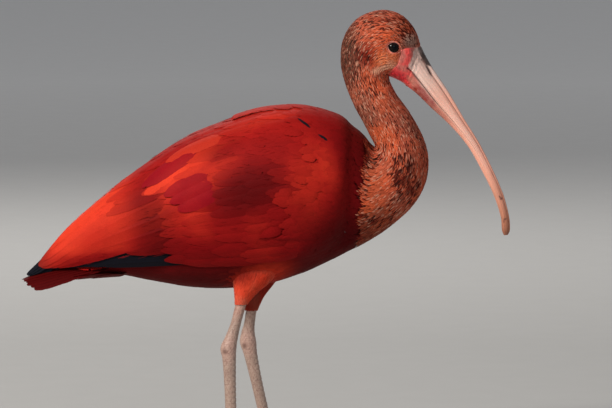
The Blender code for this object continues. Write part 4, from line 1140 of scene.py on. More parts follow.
def coat_wing():
    """All feathers of the left wing."""
    coat = Coat()

    def vanes(form, paths, half, height, tint, seed, root=-2.9, **more):
        feathers(coat, WING, form, paths, half, root, height, tint, seed, own_side=True, **more)

    def reds(paths, station=4):
        """The wing's colour at one station of each path."""
        return wing_colour(WING.point(*(x[:, station] for x in paths)))

    rows = np.array(PRIMARIES)
    vanes("flight", straight(*rows[:, :4].T), rows[:, 4], rows[:, 5],
          np.tile(BLUE_BLACK, (len(rows), 1)), 141, -3.9, flat=0.8, tilt=3.0, camber=0.08,
          tip_rise=np.where(rows[:, 0] > 5, 1.2, 0.0))
    dice = np.random.default_rng(142)
    angles = np.linspace(7, 113, 16)
    tips = np.interp(angles, FLIGHT_ANGLES, FLIGHT_TIPS) + 0.12 * (dice.random(len(angles)) - 0.5)
    paths = straight(3.7 + 0 * tips, tips - 0.5, angles, angles - 1.5)
    vanes("flight", paths, 7.2, -2.5, varied(reds(paths), dice, 0.08), 143, -3.4, flat=0.7,
          tilt=3.0, camber=0.09, dark_root=0.9, field=wing_colour, field_share=0.5)
    rows = np.array(TERTIALS)
    paths = straight(*rows[:, :4].T)
    vanes("flight", paths, rows[:, 4], rows[:, 5], varied(reds(paths, 5), dice, 0.06), 144, -3.0,
          flat=0.35, tilt=1.5, camber=0.10, dark_root=0.95, field=wing_colour, field_share=0.7)
    for rank, (columns, root, tip, half, height, stagger) in enumerate(WING_TIERS):
        dice = np.random.default_rng(150 + rank)
        angles = np.linspace(*columns)
        count = len(angles)
        angles = angles + (dice.random(count) - 0.5) * 2.5
        shift = stagger * ((np.arange(count) % 2) - 0.5 + 0.9 * (dice.random(count) - 0.5))
        paths = straight(root + 0.3 * shift, tip + shift, angles,
                         angles + 5 * (dice.random(count) - 0.5))
        tint = varied(reds(paths), dice, 0.14)
        vanes("covert", paths, half * (0.94 + 0.12 * dice.random(count)),
              height + 0.12 * (dice.random(count) - 0.5), tint, 180 + rank, flat=0.15, tilt=2.0,
              camber=0.11, dark_root=0.84, rise_share=0.45, field=wing_colour, field_share=0.55,
              pale_edge=0.06)
    for rank, (row, colour) in enumerate(ACCENTS):
        row = np.array([row])
        form, share, root = ("covert", 0.18, -1.9) if row[0, 4] > 2 else ("contour", 0.0, 0.6)
        vanes(form, straight(*row[:, :4].T), row[:, 4], row[:, 5], np.array([colour]), 200 + rank,
              root, flat=0.15, camber=0.10, dark_root=0.95, field=wing_colour, field_share=share)
    dice = np.random.default_rng(160)
    s = 0.3 + 8.0 * dice.random(WISPS) ** 1.15
    angle = 4 + 118 * dice.random(WISPS)
    paths = WING.walk(s, angle, 24 * (dice.random(WISPS) - 0.5), 4 + 4 * dice.random(WISPS), 4)
    tint = wing_colour(WING.point(s, angle)) * (0.9 + 0.35 * dice.random((WISPS, 1)))
    top = wing_top(s, angle)
    vanes("wisp", paths, 0.10 + 0.06 * dice.random(WISPS), top + 0.02, tint, 161, top - 0.5,
          tip_rise=0.08 * dice.random(WISPS), dark_root=1.0)
    return coat


def coat_tail():
    """Twelve tail feathers like a low roof, with coverts over and under their roots."""
    coat = Coat()
    dice = np.random.default_rng(201)
    both = np.array([1, -1])
    for pair in range(5, -1, -1):
        share = pair / 5
        tips = TAIL_LENGTH * (1 - 0.13 * share ** 1.5) + 1.5 * (dice.random(2) - 0.5)
        paths = straight(np.array([3.0, 3.0]), tips, both * (0.8 + 4.6 * share),
                         both * (2.4 + 12.2 * share))
        # Painted shade: the tail feathers' crimson is darkened to about a quarter.
        tint = varied(np.tile(CRIMSON, (2, 1)) * 0.24, dice, 0.1)
        feathers(coat, TAIL_TOP, "flight", paths, 6.6, -1.2, -0.5 - 0.3 * pair, tint, 210 + pair,
                 camber=0.05, dark_root=0.9, flat=0.4)
    for sheet, seed, count, camber, colour, shade, shorter, uneven, vary, rows in TAIL_COVERTS:
        for rank, (root, tip, reach, half, height) in enumerate(rows):
            a = np.linspace(-reach, reach, count)
            tips = tip - shorter * np.abs(a) / reach + uneven * dice.random(count)
            feathers(coat, sheet, "covert", straight(root + 0 * a, tips, a * 0.7, a), half, -1.5,
                     height, varied(np.tile(colour, (count, 1)) * shade, dice, vary), seed + rank,
                     camber=camber)
    return coat


def grid_faces(rows, columns, closed_rows):
    """Corners and starts of a tube's faces, wound so that they face outwards for a hand of 1."""
    r = np.arange(rows if closed_rows else rows - 1)[:, None]
    k = np.arange(columns)[None]
    after, beside = (r + 1) % rows, (k + 1) % columns
    quads = np.stack([r * columns + k, after * columns + k, after * columns + beside,
                      r * columns + beside], -1).reshape(-1, 4)
    corners, starts = quads.ravel(), np.arange(len(quads)) * 4
    if closed_rows:
        return corners, starts
    first = np.arange(columns)
    starts = np.concatenate([starts, [len(corners), len(corners) + columns]])
    return np.concatenate([corners, first, (rows - 1) * columns + first[::-1]]), starts


def tube(name, grid, finish, tint=None, sharp=70.0, flip=False, closed_rows=False):
    """A closed tube from a grid of points, rows by columns."""
    corners, starts = grid_faces(*grid.shape[:2], closed_rows)
    colour = None if tint is None else tint.reshape(-1, 3)
    return mesh_piece(name, grid.reshape(-1, 3), corners, starts, finish, colour, sharp=sharp,
                      flip=flip)


def applied(thing):
    """Turns what an object's modifiers give into its mesh."""
    graph = bpy.context.evaluated_depsgraph_get()
    made = bpy.data.meshes.new_from_object(thing.evaluated_get(graph))
    thing.modifiers.clear()
    thing.data = made


def joined(base, others):
    """Joins closed meshes to base with no seam between them."""
    scene = bpy.context.scene.collection
    group = bpy.data.collections.new("joining")
    scene.children.link(group)
    for other in others:
        scene.objects.unlink(other)
        group.objects.link(other)
    step = base.modifiers.new("joined", "BOOLEAN")
    step.operation, step.solver = "UNION", "MANIFOLD"
    step.operand_type, step.collection = "COLLECTION", group
    applied(base)
    for other in others:
        bpy.data.objects.remove(other)
    bpy.data.collections.remove(group)


def vertex_arrays(thing):
    """Places of a mesh's points in mm, and their normals."""
    found = []
    for key in ("co", "normal"):
        values = np.zeros(len(thing.data.vertices) * 3)
        thing.data.vertices.foreach_get(key, values)
        found.append(values.reshape(-1, 3))
    return found[0] / MM, found[1]


def repaint(thing, points, colour):
    """Puts moved points (mm) and new colours on a mesh."""
    data = thing.data
    data.vertices.foreach_set("co", (points * MM).ravel())
    for old in [x for x in data.attributes if x.name == "tint"]:
        data.attributes.remove(old)
    paint(data, colour)
    data.update()
    data.shade_smooth()


def lid_grid(side):
    """A closed rim round an eye: the lid's margin on the eyeball, two folds and a buried skirt."""
    turn = ring(96)[:, None]
    shape = np.array([  # reach, height over the eyeball or over the skin, which of the two
        (0.93, -1.6, 0), (0.96, -0.2, 0), (1.0, 0.14, 0), (1.05, 0.30, 0), (1.10, 0.30, 0),
        (1.15, 0.16, 0.1), (1.20, 0.14, 0.3), (1.26, 0.24, 0.6), (1.32, 0.20, 0.85),
        (1.40, 0.02, 1), (1.52, -0.5, 1), (1.56, -2.4, 1), (1.2, -3.2, 1),
    ])
    corner = 1 + 0.10 * np.clip(np.cos(turn), 0, 1) ** 8 + 0.05 * np.clip(-np.cos(turn), 0, 1) ** 8
    reach_x = EYE_OPENING[0] * corner * shape[:, 0]
    reach_z = EYE_OPENING[1] * shape[:, 0] * np.where(np.sin(turn) > 0, 0.85, 1.0)
    ripple = 0.04 * np.sin(turn * 19 + 2 * np.sin(turn * 3))
    ripple = ripple * ((shape[:, 0] > 1.02) & (shape[:, 0] < 1.45))
    x, z = reach_x * np.cos(turn), reach_z * np.sin(turn)
    ball = np.sqrt(np.maximum(EYE_RADIUS ** 2 - x * x - z * z, 4.0))
    skin = EYE_SINK - 0.35 + 0 * x
    height = ball * (1 - shape[:, 2]) + skin * shape[:, 2] + shape[:, 1] + ripple
    grid = (EYE_CENTRE + height[..., None] * EYE_OUT + x[..., None] * EYE_AHEAD
            + z[..., None] * EYE_UP)
    return grid * np.array([1, side, 1])


def bill_reach(b, angle):
    """How far the bill's outline reaches, as a share of its oval's, at places b along the bill."""
    row = spline(BILL_RIBS, b)
    deep = norm(row[..., 0:2] - row[..., 2:4]) / 2
    split = 1 - row[..., 5]
    upper, lower = bill_outline(UPPER_BILL, 6), bill_outline(LOWER_BILL, 8)
    out = np.zeros(angle.shape)
    for k in np.ndindex(angle.shape[:1]):
        low = split[k][0]
        share = np.concatenate([low + (1 - low) * upper[:, 1], low * lower[:, 1]])
        y = row[k][0, 4] * np.concatenate([upper[:, 0], lower[:, 0]])
        up = (share * 2 - 1) * deep[k][0]
        polar = np.degrees(np.arctan2(y, up))
        order = np.argsort(polar)
        turn = np.radians(from_back(angle[k]))
        oval_y, oval_up = row[k][0, 4] * np.sin(turn), deep[k][0] * np.cos(turn)
        toward = np.degrees(np.arctan2(oval_y, oval_up))
        reach = np.interp(toward, polar[order], np.hypot(y, up)[order])
        out[k] = reach / np.hypot(oval_y, oval_up)
    return out


def muzzle_grid(angles, depth):
    """The skin's last rings: from the head's oval to the bill's outline, and thinly over it."""
    tt, aa = crossed(np.arange(23.0, HEAD_END + 0.001, 0.035), angles)
    row = spline(BODY_RIBS, tt)
    middle = np.stack([(row[..., 0] + row[..., 2]) / 2, 0 * tt, (row[..., 1] + row[..., 3]) / 2],
                      -1)
    ratio = bill_reach(np.zeros((1, len(angles))), angles[None])
    ratio = 1 + (ratio - 1) * smooth(23.0, 24.0, tt)
    sunk = mixed(np.broadcast_to(depth, tt.shape), 0.0, smooth(23.2, 24.0, tt))
    head = middle + (body_point(tt, aa, -sunk) - middle) * ratio[..., None]
    bb, ab = crossed(np.linspace(0.0, 0.52, 24)[1:], angles)
    reach = bill_reach(bb, ab)
    rib = spline(BILL_RIBS, bb)
    deep = (rib[..., 0:2] - rib[..., 2:4]) / 2
    turn = np.radians(ab)
    place = np.stack([np.cos(turn), np.sin(turn), bb], -1)
    edge = bb + 0.12 * (noise(place, (0.35, 0.35, 9.0), 64) - 0.5)
    over = 0.28 * smooth(-0.1, 0.12, bb) - 0.58 * smooth(0.1, 0.52, edge)
    reach = reach + over / np.hypot(rib[..., 4] * np.sin(turn), norm(deep) * np.cos(turn))
    flat = (rib[..., 0:2] + rib[..., 2:4]) / 2 + deep * (np.cos(turn) * reach)[..., None]
    cuff = np.stack([flat[..., 0], rib[..., 4] * np.sin(turn) * reach, flat[..., 1]], -1)
    return np.concatenate([head, cuff])


# The mouth line on the face in side view, from the gape to the bill, as x and z.
MOUTH = np.array([(101.3, 290.9), (104.5, 288.3), (108.2, 283.8), (112.2, 278.9)])


def line_distance(p, line):
    """How far points are from a line in side view."""
    return np.minimum.reduce([gap_to(p[..., 0], p[..., 2], *ends)
                              for ends in zip(line[:-1], line[1:])])


def make_skin(finish):
    """One skin over torso, neck, head and thighs, with the lids and the bare face's folds."""
    stations = np.concatenate([np.arange(1.0, HEAD_START, 0.1),
                               np.arange(HEAD_START, 22.99, 0.035)])
    half = np.concatenate([np.arange(0, 60, 2.5), np.arange(60, 150, 1.0),
                           np.arange(150, 180, 2.5)])
    angles = np.concatenate([half, [180.0], 360 - half[:0:-1]])
    t, a = crossed(stations, angles)
    depth = mixed(2.2, 1.4, smooth(7.5, 12.0, t))
    depth = mixed(depth, 1.0, smooth(14.0, 17.0, t))
    depth = mixed(depth, 0.12, bareness(BODY.point(t, a)))
    muzzle = muzzle_grid(angles, depth[-1])
    grid = np.concatenate([body_point(t, a, -depth), muzzle])
    outward = BODY.frame(t, a)[2]
    outward = np.concatenate([outward, np.repeat(outward[-1:], len(muzzle), 0)])
    grid = grid - outward * (smooth(1.5, 1.15, eye_reach(grid)) * 2.4)[..., None]
    crease = smooth(0.75, 0.1, line_distance(grid, MOUTH))
    crease = crease * smooth(0.5, 3.0, np.abs(grid[..., 1]))
    skin = tube("skin", grid - outward * (0.85 * crease)[..., None], finish)
    others = [tube(f"lid_{name}", lid_grid(side), finish, flip=side < 0, closed_rows=True)
              for name, side in SIDES.items()]
    for name, side in SIDES.items():
        t, a = crossed(np.linspace(0, 3, 60), ring(48, 360))
        flesh = limb_surface(on_side(THIGHS[name], side))(t, a, -1.0)
        others.append(tube(f"thigh_flesh_{name}", flesh, finish))
    joined(skin, others)
    p, n = vertex_arrays(skin)
    near_eye = eye_reach(p)
    bare = np.maximum(bareness(p), smooth(1.75, 1.45, near_eye) * smooth(0.98, 1.1, near_eye))
    on_bill = smooth(108.5, 112.0, p[:, 0])
    folds = noise(p, (1.1, 3.0, 2.4), 61) + 0.7 * noise(p, (0.6, 1.0, 0.9), 62) - 0.85
    p = p + n * (0.20 * folds * bare * (1 - 0.7 * on_bill))[:, None]
    colour = skin_colour(nearest_t(p), p)
    colour = colour * (1 - 0.30 * smooth(0.1, -0.35, folds) * bareness(p))[:, None]
    crease = smooth(0.7, 0.15, line_distance(p, MOUTH)) * smooth(1.0, 3.0, np.abs(p[:, 1]))
    colour = layered(
        colour, (mixed(LID_PINK, LID_RED, noise(p, 1.2, 63)), smooth(1.40, 1.22, near_eye)),
        (LID_MARGIN, smooth(1.06, 0.98, near_eye)), (MOUTH_RED, crease * 0.75 * bareness(p)))
    repaint(skin, p, colour)
    return skin


def nearest_t(p):
    """About where points lie along the body's ribs."""
    t_row = np.linspace(1, HEAD_END, 240)
    row = spline(BODY_RIBS, t_row)
    centre = (row[:, 0:2] + row[:, 2:4]) / 2
    axis = unit(row[:, 0:2] - row[:, 2:4])
    best = np.full(len(p), 1e9)
    found = np.zeros(len(p))
    for k, t in enumerate(t_row):
        dx, dz = p[:, 0] - centre[k, 0], p[:, 2] - centre[k, 1]
        off_plane = np.abs(dx * axis[k, 1] - dz * axis[k, 0])
        score = off_plane + 0.02 * np.hypot(dx, dz)
        better = score < best
        best[better], found[better] = score[better], t
    return found


def make_eye(name, side, finish):
    """An eyeball with a raised cornea, a dark iris and a black pupil."""
    polar = np.concatenate([np.linspace(0.5, 62, 60), np.linspace(66, 178, 24)])
    pole, around = crossed(np.radians(polar), np.radians(ring(64, 360)))
    degrees = np.degrees(pole)
    radius = EYE_RADIUS - 0.03 + 0.25 * np.exp(-(degrees / 30) ** 2)
    grid = EYE_CENTRE + radius[..., None] * (
        np.cos(pole)[..., None] * EYE_OUT + np.sin(pole)[..., None]
        * (np.cos(around)[..., None] * EYE_AHEAD + np.sin(around)[..., None] * EYE_UP))
    tint = mixed(PUPIL, mixed(IRIS_BROWN, IRIS_RIM, smooth(26, 44, degrees)),
                 smooth(19, 22, degrees))
    return tube(f"eye_{name}_finished", grid * np.array([1, side, 1]), finish, tint, flip=side > 0)


def bill_outline(table, per_segment):
    """A half's outline across the bill, with some points for each row of its table."""
    t = np.linspace(0, len(table) - 1, (len(table) - 1) * per_segment + 1)
    return spline(table, t)


def nostril_slit(p):
    """How deep in a nostril's slit points lie: 1 in its middle."""
    slope = math.radians(NOSTRIL["slope"])
    dx, dz = p[..., 0] - NOSTRIL["place"][0], p[..., 2] - NOSTRIL["place"][1]
    run = dx * math.cos(slope) - dz * math.sin(slope)
    off = dx * math.sin(slope) + dz * math.cos(slope)
    slit = np.exp(-(run / NOSTRIL["half_length"]) ** 4 - (off / NOSTRIL["half_width"]) ** 2)
    return slit * (np.abs(p[..., 1]) > 1.2)


def make_bill(finish):
    """Both halves of the bill, with the nasal groove, nostrils, mouth line and grain."""
    stations = np.linspace(0, len(BILL_RIBS) - 1, 300)
    rows = spline(BILL_RIBS, stations)
    culmen, edge, half = rows[:, 0:2], rows[:, 2:4], rows[:, 4]
    middle = (culmen + edge)[:, None] / 2
    split = 1 - rows[:, 5]
    gap = mixed(BILL_GAP[0], BILL_GAP[1], smooth(2.0, 5.0, stations))
    pieces = []
    for name, table, low, high in (("upper", UPPER_BILL, split, 1 + 0 * split),
                                   ("lower", LOWER_BILL, 0 * split,
                                    split - gap / norm(culmen - edge))):
        outline = bill_outline(table, 8)
        share = low[:, None] + (high - low)[:, None] * np.clip(outline[:, 1], 0, 1)
        flat = edge[:, None] + (culmen - edge)[:, None] * share[..., None]
        y = half[:, None] * np.clip(outline[:, 0], 0, 2)
        left = np.stack([flat[..., 0], y, flat[..., 1]], -1)
        inner = slice(1, None) if name == "upper" else slice(0, -1)
        grid = np.concatenate([left, (left * MIRRORED)[:, inner][:, ::-1]], 1)
        shares = np.concatenate([share, share[:, inner][:, ::-1]], 1)
        along = np.broadcast_to(stations[:, None], shares.shape)
        outward = unit(np.stack([grid[..., 0] - middle[..., 0], grid[..., 1] * 2,
                                 grid[..., 2] - middle[..., 1]], -1))
        place = np.stack([along * 18, shares * 12, np.sign(grid[..., 1]) * 30], -1)
        grain = noise(place, (6.0, 0.45, 1.0), 71) - 0.5
        creases = (noise(place, (1.1, 3.0, 1.0), 72) - 0.5) * smooth(1.6, 0.2, along)
        slit = nostril_slit(grid) if name == "upper" else 0 * shares
        relief = 0.10 * grain + 0.14 * creases - NOSTRIL["depth"] * slit
        grid = grid + outward * relief[..., None]
        colour = mixed(bill_colour(along, shares, grid, split[:, None]), NOSTRIL_DARK,
                       np.clip(slit * 1.3, 0, 1) * 0.95)
        pieces.append(tube(f"bill_{name}_finished", grid, finish, colour, 60.0))
    return pieces


def bill_colour(along, shares, p, split):
    """Horn: white at the culmen's base, rosy under the mouth's base, pink and then peach."""
    def on_bill(pitch, size, seed):
        return noise(np.stack([along * 18, shares * pitch, 0 * along], -1), size, seed)

    mottle = on_bill(16, (2.6, 1.6, 1.0), 75)
    rosy = smooth(0.0, -0.12, shares - split) * smooth(3.8, 1.4, along)
    horn = layered(
        HORN_GREY, (HORN_PINK, smooth(0.8, 2.6, along)),
        (HORN_WHITE, smooth(0.86, 0.94, shares) * smooth(2.6, 0.8, along) * 0.8),
        (HORN_PEACH, smooth(4.0, 7.6, along) * 0.9), (HORN_TIP, smooth(6.6, 8.6, along) * 0.8),
        (HORN_WHITE, smooth(0.35, 0.1, np.abs(shares - 0.52)) * smooth(1.6, 2.6, along)
         * smooth(5.5, 3.5, along) * 0.35),
        (HORN_ROSE, rosy * (0.8 + 0.4 * mottle)),
        (HORN_ROSE_DEEP, spot(p, 115.4, 270.6, 8.5, 2.2, -48, 1.2) * (0.4 + 0.6 * mottle)))
    groove = np.exp(-((shares - (split + (1 - split) * 0.735)) / 0.030) ** 2)
    mouth = np.exp(-((shares - split) / 0.026) ** 2)
    colour = layered(
        bare_colour(p), (horn, smooth(0.35, 1.15, along + 0.3 * (mottle - 0.5))),
        # A painted shadow lies along the culmen's base.
        (CULMEN_SHADOW, culmen_shadow(p)),
        (GROOVE_BROWN, groove * 0.8 * smooth(8.4, 5.0, along) * smooth(0.25, 0.6, along)),
        (GROOVE_BROWN, mouth * 0.85 * mixed(0.25, 1.0, smooth(3.4, 1.6, along))))
    colour = colour * (0.80 + 0.34 * on_bill(26, (14.0, 0.8, 1.0), 73))[..., None]
    flecks = 0.6 * smooth(0.78, 0.9, noise(p, (1.6, 1.6, 2.4), 74)) * smooth(4.5, 6.0, along)
    return mixed(colour, HORN_MARK, np.maximum(spots(p, BILL_MARKS), flecks) * 0.9)


def foot_origin(name, side):
    """The middle of a foot, on the floor."""
    return np.array([FOOT_PLACE[name][0], FOOT_PLACE[name][1] * side, 0.0])


def make_leg(name, side, finish):
    """Shank, heel, tarsus, pad and toes as one skin, with its scales raised on it."""
    rows, origin, turn = on_side(LEGS[name], side), foot_origin(name, side), ring(24)
    t, a = crossed(np.linspace(0, len(rows) - 1, 220), ring(36, 360))
    leg = tube(f"leg_{name}", limb_surface(rows)(t, a), finish)
    others = []
    for toe, degrees, length, root, tip in TOES:
        ahead, across = toe_axes(degrees, side)
        u = np.linspace(-0.04, 1.0, 72)[:, None]
        radius = (root + (tip - root) * u) * (1 + 0.10 * np.cos(TAU * 3 * u))
        radius = radius * np.sqrt(np.clip((1.012 - u) / 0.06, 0.05, 1))
        height = (root + (tip - root) * u) * 0.9
        grid = (origin + u[..., None] * length * ahead + (radius * np.cos(turn))[..., None] * across
                + (height + radius * np.sin(turn))[..., None] * UP)
        grid[..., 2] = np.maximum(grid[..., 2], 0.0)
        others.append(tube(f"toe_{toe}_{name}", grid, finish, flip=True))
    for neighbour, outward in (("inner", -34.0), ("outer", 36.0)):
        others.append(web(f"web_{neighbour}_{name}", origin, 2.0, outward, side, finish))
    pad = np.array([(0.0, 4.0), (0.6, 4.8), (2.4, 5.2), (4.8, 4.9), (6.6, 4.2), (8.0, 3.2)])
    rim = spline(pad, np.linspace(0, 5, 14))
    grid = np.stack([origin[0] + rim[:, 1:] * np.cos(turn), origin[1] + rim[:, 1:] * np.sin(turn),
                     rim[:, :1] + 0 * turn], -1)
    others.append(tube(f"pad_{name}", grid, finish, flip=True))
    joined(leg, others)
    step = leg.modifiers.new("even", "REMESH")
    step.mode, step.voxel_size, step.use_smooth_shade = "VOXEL", 0.55 * MM, True
    soft = leg.modifiers.new("soft", "SMOOTH")
    soft.factor, soft.iterations = 0.5, 5
    applied(leg)
    leg.data.materials.clear()
    leg.data.materials.append(finish)
    p, n = vertex_arrays(leg)
    relief, tone = leg_scales(p, rows, origin, side)
    p = p + n * (relief * 0.42)[:, None]
    p[:, 2] = np.maximum(p[:, 2], 0.0)
    heel_x = rows[4, 0]
    repaint(leg, p, layered(
        LEG_DARK, (LEG_PALE, tone), (HEEL_PINK, spot(p, heel_x, 90, 7, 9) * 0.35),
        (SHANK_PINK, smooth(106, 122, p[:, 2]) * 0.35),
        (HEEL_BROWN, spot(p, heel_x - 2.6, 88, 1.5, 1.9) * 0.8),
        (SPECKLE_BROWN, smooth(0.66, 0.82, noise(p, 0.9, 83)) * 0.35)))
    return leg


def toe_axes(degrees, side):
    """Directions along and across a toe."""
    turn = math.radians(degrees) * side
    return (np.array([math.cos(turn), math.sin(turn), 0.0]),
            np.array([-math.sin(turn), math.cos(turn), 0.0]))


def web(name, origin, first, second, side, finish):
    """A low web between the roots of two toes."""
    one, two = toe_axes(first, side)[0], toe_axes(second, side)[0]
    middle = (one + two) / 2
    outline = np.array([one * 1.0, one * 15.0, one * 12.0 + two * 1.0, middle * 10.4,
                        two * 12.0 + one * 1.0, two * 15.0, two * 1.0]) + origin
    grid = np.stack([outline + np.array([0, 0, 0.4]), outline + np.array([0, 0, 1.9])])
    return tube(name, grid, finish, flip=(side > 0) == (second > first))


def leg_scales(p, rows, origin, side):
    """Height and tone of the scales: scutes down the front and over the toes, cells elsewhere."""
    z_rows, order = rows[:, 2], np.argsort(rows[:, 2])
    cx = np.interp(p[:, 2], z_rows[order], rows[order, 0])
    cy = np.interp(p[:, 2], z_rows[order], rows[order, 1])
    phi = np.arctan2((p[:, 1] - cy) * side, p[:, 0] - cx)
    plate = 1 - np.abs(2 * ((p[:, 2] / 3.9 + 0.06 * np.sin(phi * 2)) % 1) - 1) ** 5
    cell, tone_cell = cells(p[:, 2], phi * 3.6, 1.75, 81)
    front = smooth(0.50, 0.72, np.cos(phi)) * smooth(84, 80, p[:, 2]) * smooth(8, 12, p[:, 2])
    relief = mixed(cell, plate, front)
    tone = mixed(tone_cell, 0.72 + 0.28 * plate, front)
    toe_relief, toe_tone = np.zeros(len(p)), np.ones(len(p)) * 0.7
    nearest = np.full(len(p), 1e9)
    for _toe, degrees, _length, root, _tip in TOES:
        ahead, across = toe_axes(degrees, side)
        q = p - origin
        run, off = q @ ahead, q @ across
        away = np.abs(off) + 10 * (run < 1.0) * (1.0 - run)
        here = away < nearest
        scute = 1 - np.abs(2 * ((run / 2.3) % 1) - 1) ** 5
        beside, beside_tone = cells(run, np.arctan2(p[:, 2] - root, off) * 2.6, 1.4, 82)
        upper = smooth(0.25, 0.6, (p[:, 2] - root * 0.9) / root)
        toe_relief = np.where(here, mixed(beside, scute, upper), toe_relief)
        toe_tone = np.where(here, mixed(beside_tone, 0.68 + 0.32 * scute, upper), toe_tone)
        nearest = np.minimum(nearest, away)
    foot = smooth(9.5, 6.5, p[:, 2])
    relief = mixed(relief, toe_relief, foot)
    tone = mixed(tone, toe_tone, foot)
    sole = smooth(0.5, 0.15, p[:, 2])
    return relief * (1 - sole), tone


def cells(u, v, pitch, seed):
    """Rounded scales in staggered rows, each with a tone of its own."""
    row = np.floor(u / (pitch * 0.87))
    column = np.floor(v / pitch + 0.5 * (row % 2))
    best = np.full(u.shape, 1e9)
    tone = np.zeros(u.shape)
    for dr in (-1, 0, 1):
        for dc in (-1, 0, 1):
            r, c = row + dr, column + dc
            whole = r.astype(np.int64)
            jitter = hashed(whole, c.astype(np.int64), 7 + 0 * whole, seed)
            cu = (r + 0.5 + 0.3 * (jitter - 0.5)) * pitch * 0.87
            cv = (c + 0.5 - 0.5 * (r % 2) + 0.3 * ((jitter * 7) % 1 - 0.5)) * pitch
            far = np.hypot(u - cu, v - cv) / pitch
            nearer = far < best
            best = np.where(nearer, far, best)
            tone = np.where(nearer, jitter, tone)
    height = smooth(0.62, 0.36, best)
    return height, 0.15 + height * (0.55 + 0.35 * tone)


def make_claws(name, side, finish):
    """A foot's claws, each with the name of the node that it replaces."""
    made = []
    origin, turn = foot_origin(name, side), ring(20)
    u = np.linspace(0, 1, 36)[:, None]
    for toe, degrees, length, _root, tip in TOES:
        ahead, across = toe_axes(degrees, side)
        radius = tip * 0.72
        thick = radius * (1 - 0.86 * u ** 1.25)
        height = radius * (1.35 - 0.55 * u * u) + 0.3 * np.sin(math.pi * u)
        run = length + 0.35 + CLAW_LENGTH * u
        crest = 1 + 0.10 * np.clip(np.sin(turn), 0, 1) ** 4
        ripple = 1 + 0.012 * np.sin(u * 60)
        grid = (origin + run[..., None] * ahead
                + (0.8 * thick * ripple * np.cos(turn))[..., None] * across
                + (height + thick * crest * ripple * np.sin(turn))[..., None] * UP)
        tone = noise(grid, (1.2, 1.2, 0.4), 91)
        tint = mixed(CLAW_ROOT, CLAW_BLACK, smooth(-0.2, 0.6, u + 0 * tone))
        tint = tint * (0.8 + 0.4 * tone)[..., None]
        node = f"claw_{toe}_{name}"
        made.append((node, tube(f"{node}_finished", grid, finish, tint, flip=True)))
    return made


def make_wing_bed(name, side, finish):
    """The slab that the wing's feathers root in, thinned to its rim."""
    first, last = 0.45, 5.5
    s, u = np.linspace(first, last, 60), np.linspace(0, 1, 48)
    angle = 2.0 + (spline(WING_RIBS, s)[:, 5:] - 2.0) * u
    ends = np.minimum(1, np.minimum((s - first) / 0.9, (last - s) / 1.2))[:, None]
    share = np.minimum(1, np.minimum(4 * u + 0.3, 4 * (1 - u) + 0.3))
    share = share * (0.3 + 0.7 * np.sqrt(np.clip(ends, 0, 1)))
    s_grid = s[:, None] + 0 * angle
    outer = wing_point(s_grid, angle, -3.1 - 1.4 * (1 - share))
    inner = wing_point(s_grid, angle, -3.2 - 5.0 * share)
    grid = np.concatenate([outer, inner[:, ::-1]], 1) * np.array([1, side, 1])
    return tube(f"wing_bed_{name}", grid, finish, wing_colour(grid) * 0.7, flip=side > 0)


def build():
    """All pieces, each riding the root and hiding the nodes that it replaces."""
    vane = feather_material("red_vanes", 0.60, 0.55, 0.07, 0.05)
    soft = feather_material("body_vanes", 0.66, 0.45, 0.07, 0.05)
    salmon = feather_material("salmon_tufts", 0.66, 0.35, 0.10, 0.06, 1500.0)
    bare = skin_material("bare_skin", 0.42, 1400.0, 0.16, 0.0002, 0.12)
    horn = skin_material("bill_horn", 0.34, 2200.0, 0.10, 0.00006, 0.08)
    scaled = skin_material("leg_scales", 0.48, 2600.0, 0.22, 0.0001)
    claw = skin_material("claw_horn", 0.30, 3000.0, 0.2, 0.00005)
    wet = eye_material()

    def place(thing, slot, *nodes):
        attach(thing, "root")
        if nodes:
            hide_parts(*nodes)

    place(make_skin(bare), "body_feathers", "torso", "neck_lower", "neck_upper", "head",
          "thigh_left", "thigh_right")
    wing = coat_wing()
    groups = [(coat_head() + coat_neck(), salmon, "neck_feathers"),
              (coat_body() + coat_thigh("left") + coat_thigh("right"), soft, "body_feathers")]
    for coats, finish, slot in groups:
        for name, coat in coats:
            place(coat.piece(name, finish), slot)
    for name, side in SIDES.items():
        place(wing.piece(f"wing_feathers_{name}", vane, side < 0), "body_feathers", f"wing_{name}")
        place(make_wing_bed(name, side, soft), "body_feathers")
        place(make_eye(name, side, wet), "eye", f"eye_{name}")
        place(make_leg(name, side, scaled), "leg_skin", f"shank_{name}", f"tarsus_{name}",
              f"foot_{name}")
        for node, thing in make_claws(name, side, claw):
            place(thing, "claw", node)
    place(coat_tail().piece("tail_feathers", vane), "body_feathers", "tail")
    for half, thing in zip(("upper", "lower"), make_bill(horn)):
        place(thing, "bill", f"bill_{half}")


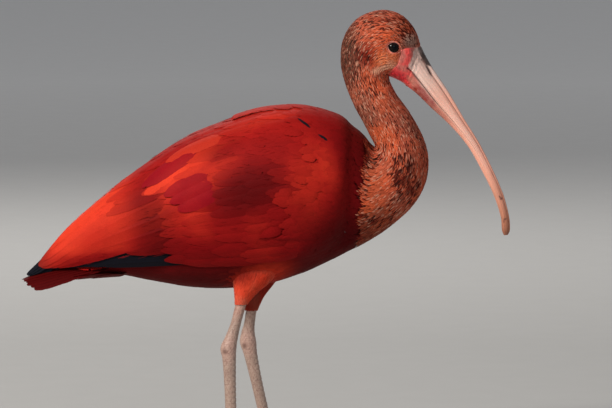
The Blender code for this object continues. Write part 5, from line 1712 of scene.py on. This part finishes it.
def light(name, place, aim, energy, size, colour):
    """A round soft light, with its place in m and its energy in W."""
    data = bpy.data.lights.new(name, "AREA")
    data.energy, data.color = energy, colour
    data.shape, data.size = "DISK", size
    thing = linked(name, data)
    thing.location, thing.rotation_euler = place, aim_rotation(place, aim)


def aim_rotation(place, aim):
    """How a lamp or camera at one place turns to look at another."""
    return (Vector(aim) - Vector(place)).to_track_quat("-Z", "Y").to_euler()


# Metres and degrees: the floor's half width, and the camera's distance, view width and tilt.
FLOOR_REACH = 15
CAMERA_AWAY, VIEW_WIDTH, CAMERA_TILT = 3.5, 0.4406, 5.0
SENSOR_MM = 36.0


def stage():
    """A pale floor, a dim even sky and three soft lights."""
    reach = FLOOR_REACH / MM
    corners = np.array([(-reach, -reach, 0), (reach, -reach, 0), (reach, reach, 0),
                        (-reach, reach, 0)], float)
    floor = mesh_piece("floor", corners, np.array([0, 1, 2, 3]), np.array([0]), floor_material())
    world = bpy.data.worlds.new("studio")
    world.use_nodes = True
    sky = world.node_tree.nodes["Background"].inputs
    sky["Color"].default_value = (0.93, 0.95, 1.0, 1.0)
    sky["Strength"].default_value = 0.28
    bpy.context.scene.world = world
    aim = (0.02, 0.0, 0.2)
    light("key", (-1.65, -1.7, 1.8), aim, 84.0, 0.7, (1.0, 0.95, 0.88))
    light("fill", (0.8, -2.3, 1.4), aim, 8.0, 1.4, (0.92, 0.96, 1.0))
    light("back", (-0.3, 1.8, 1.5), aim, 16.0, 1.0, (1.0, 0.97, 0.93))


def camera():
    """The photo's view: from the bird's right side and a little above."""
    data = bpy.data.cameras.new("camera")
    data.sensor_width = SENSOR_MM
    data.lens = SENSOR_MM * CAMERA_AWAY / VIEW_WIDTH
    data.clip_start, data.clip_end = 0.05, 60.0
    thing = linked("camera", data)
    tilt = math.radians(CAMERA_TILT)
    aim = (0.0288, 0.0, 0.1923)
    place = (aim[0], -CAMERA_AWAY * math.cos(tilt), aim[2] + CAMERA_AWAY * math.sin(tilt))
    thing.location, thing.rotation_euler = place, aim_rotation(place, aim)
    bpy.context.scene.camera = thing
    bpy.context.scene.view_settings.view_transform = "Standard"


build()
stage()
camera()
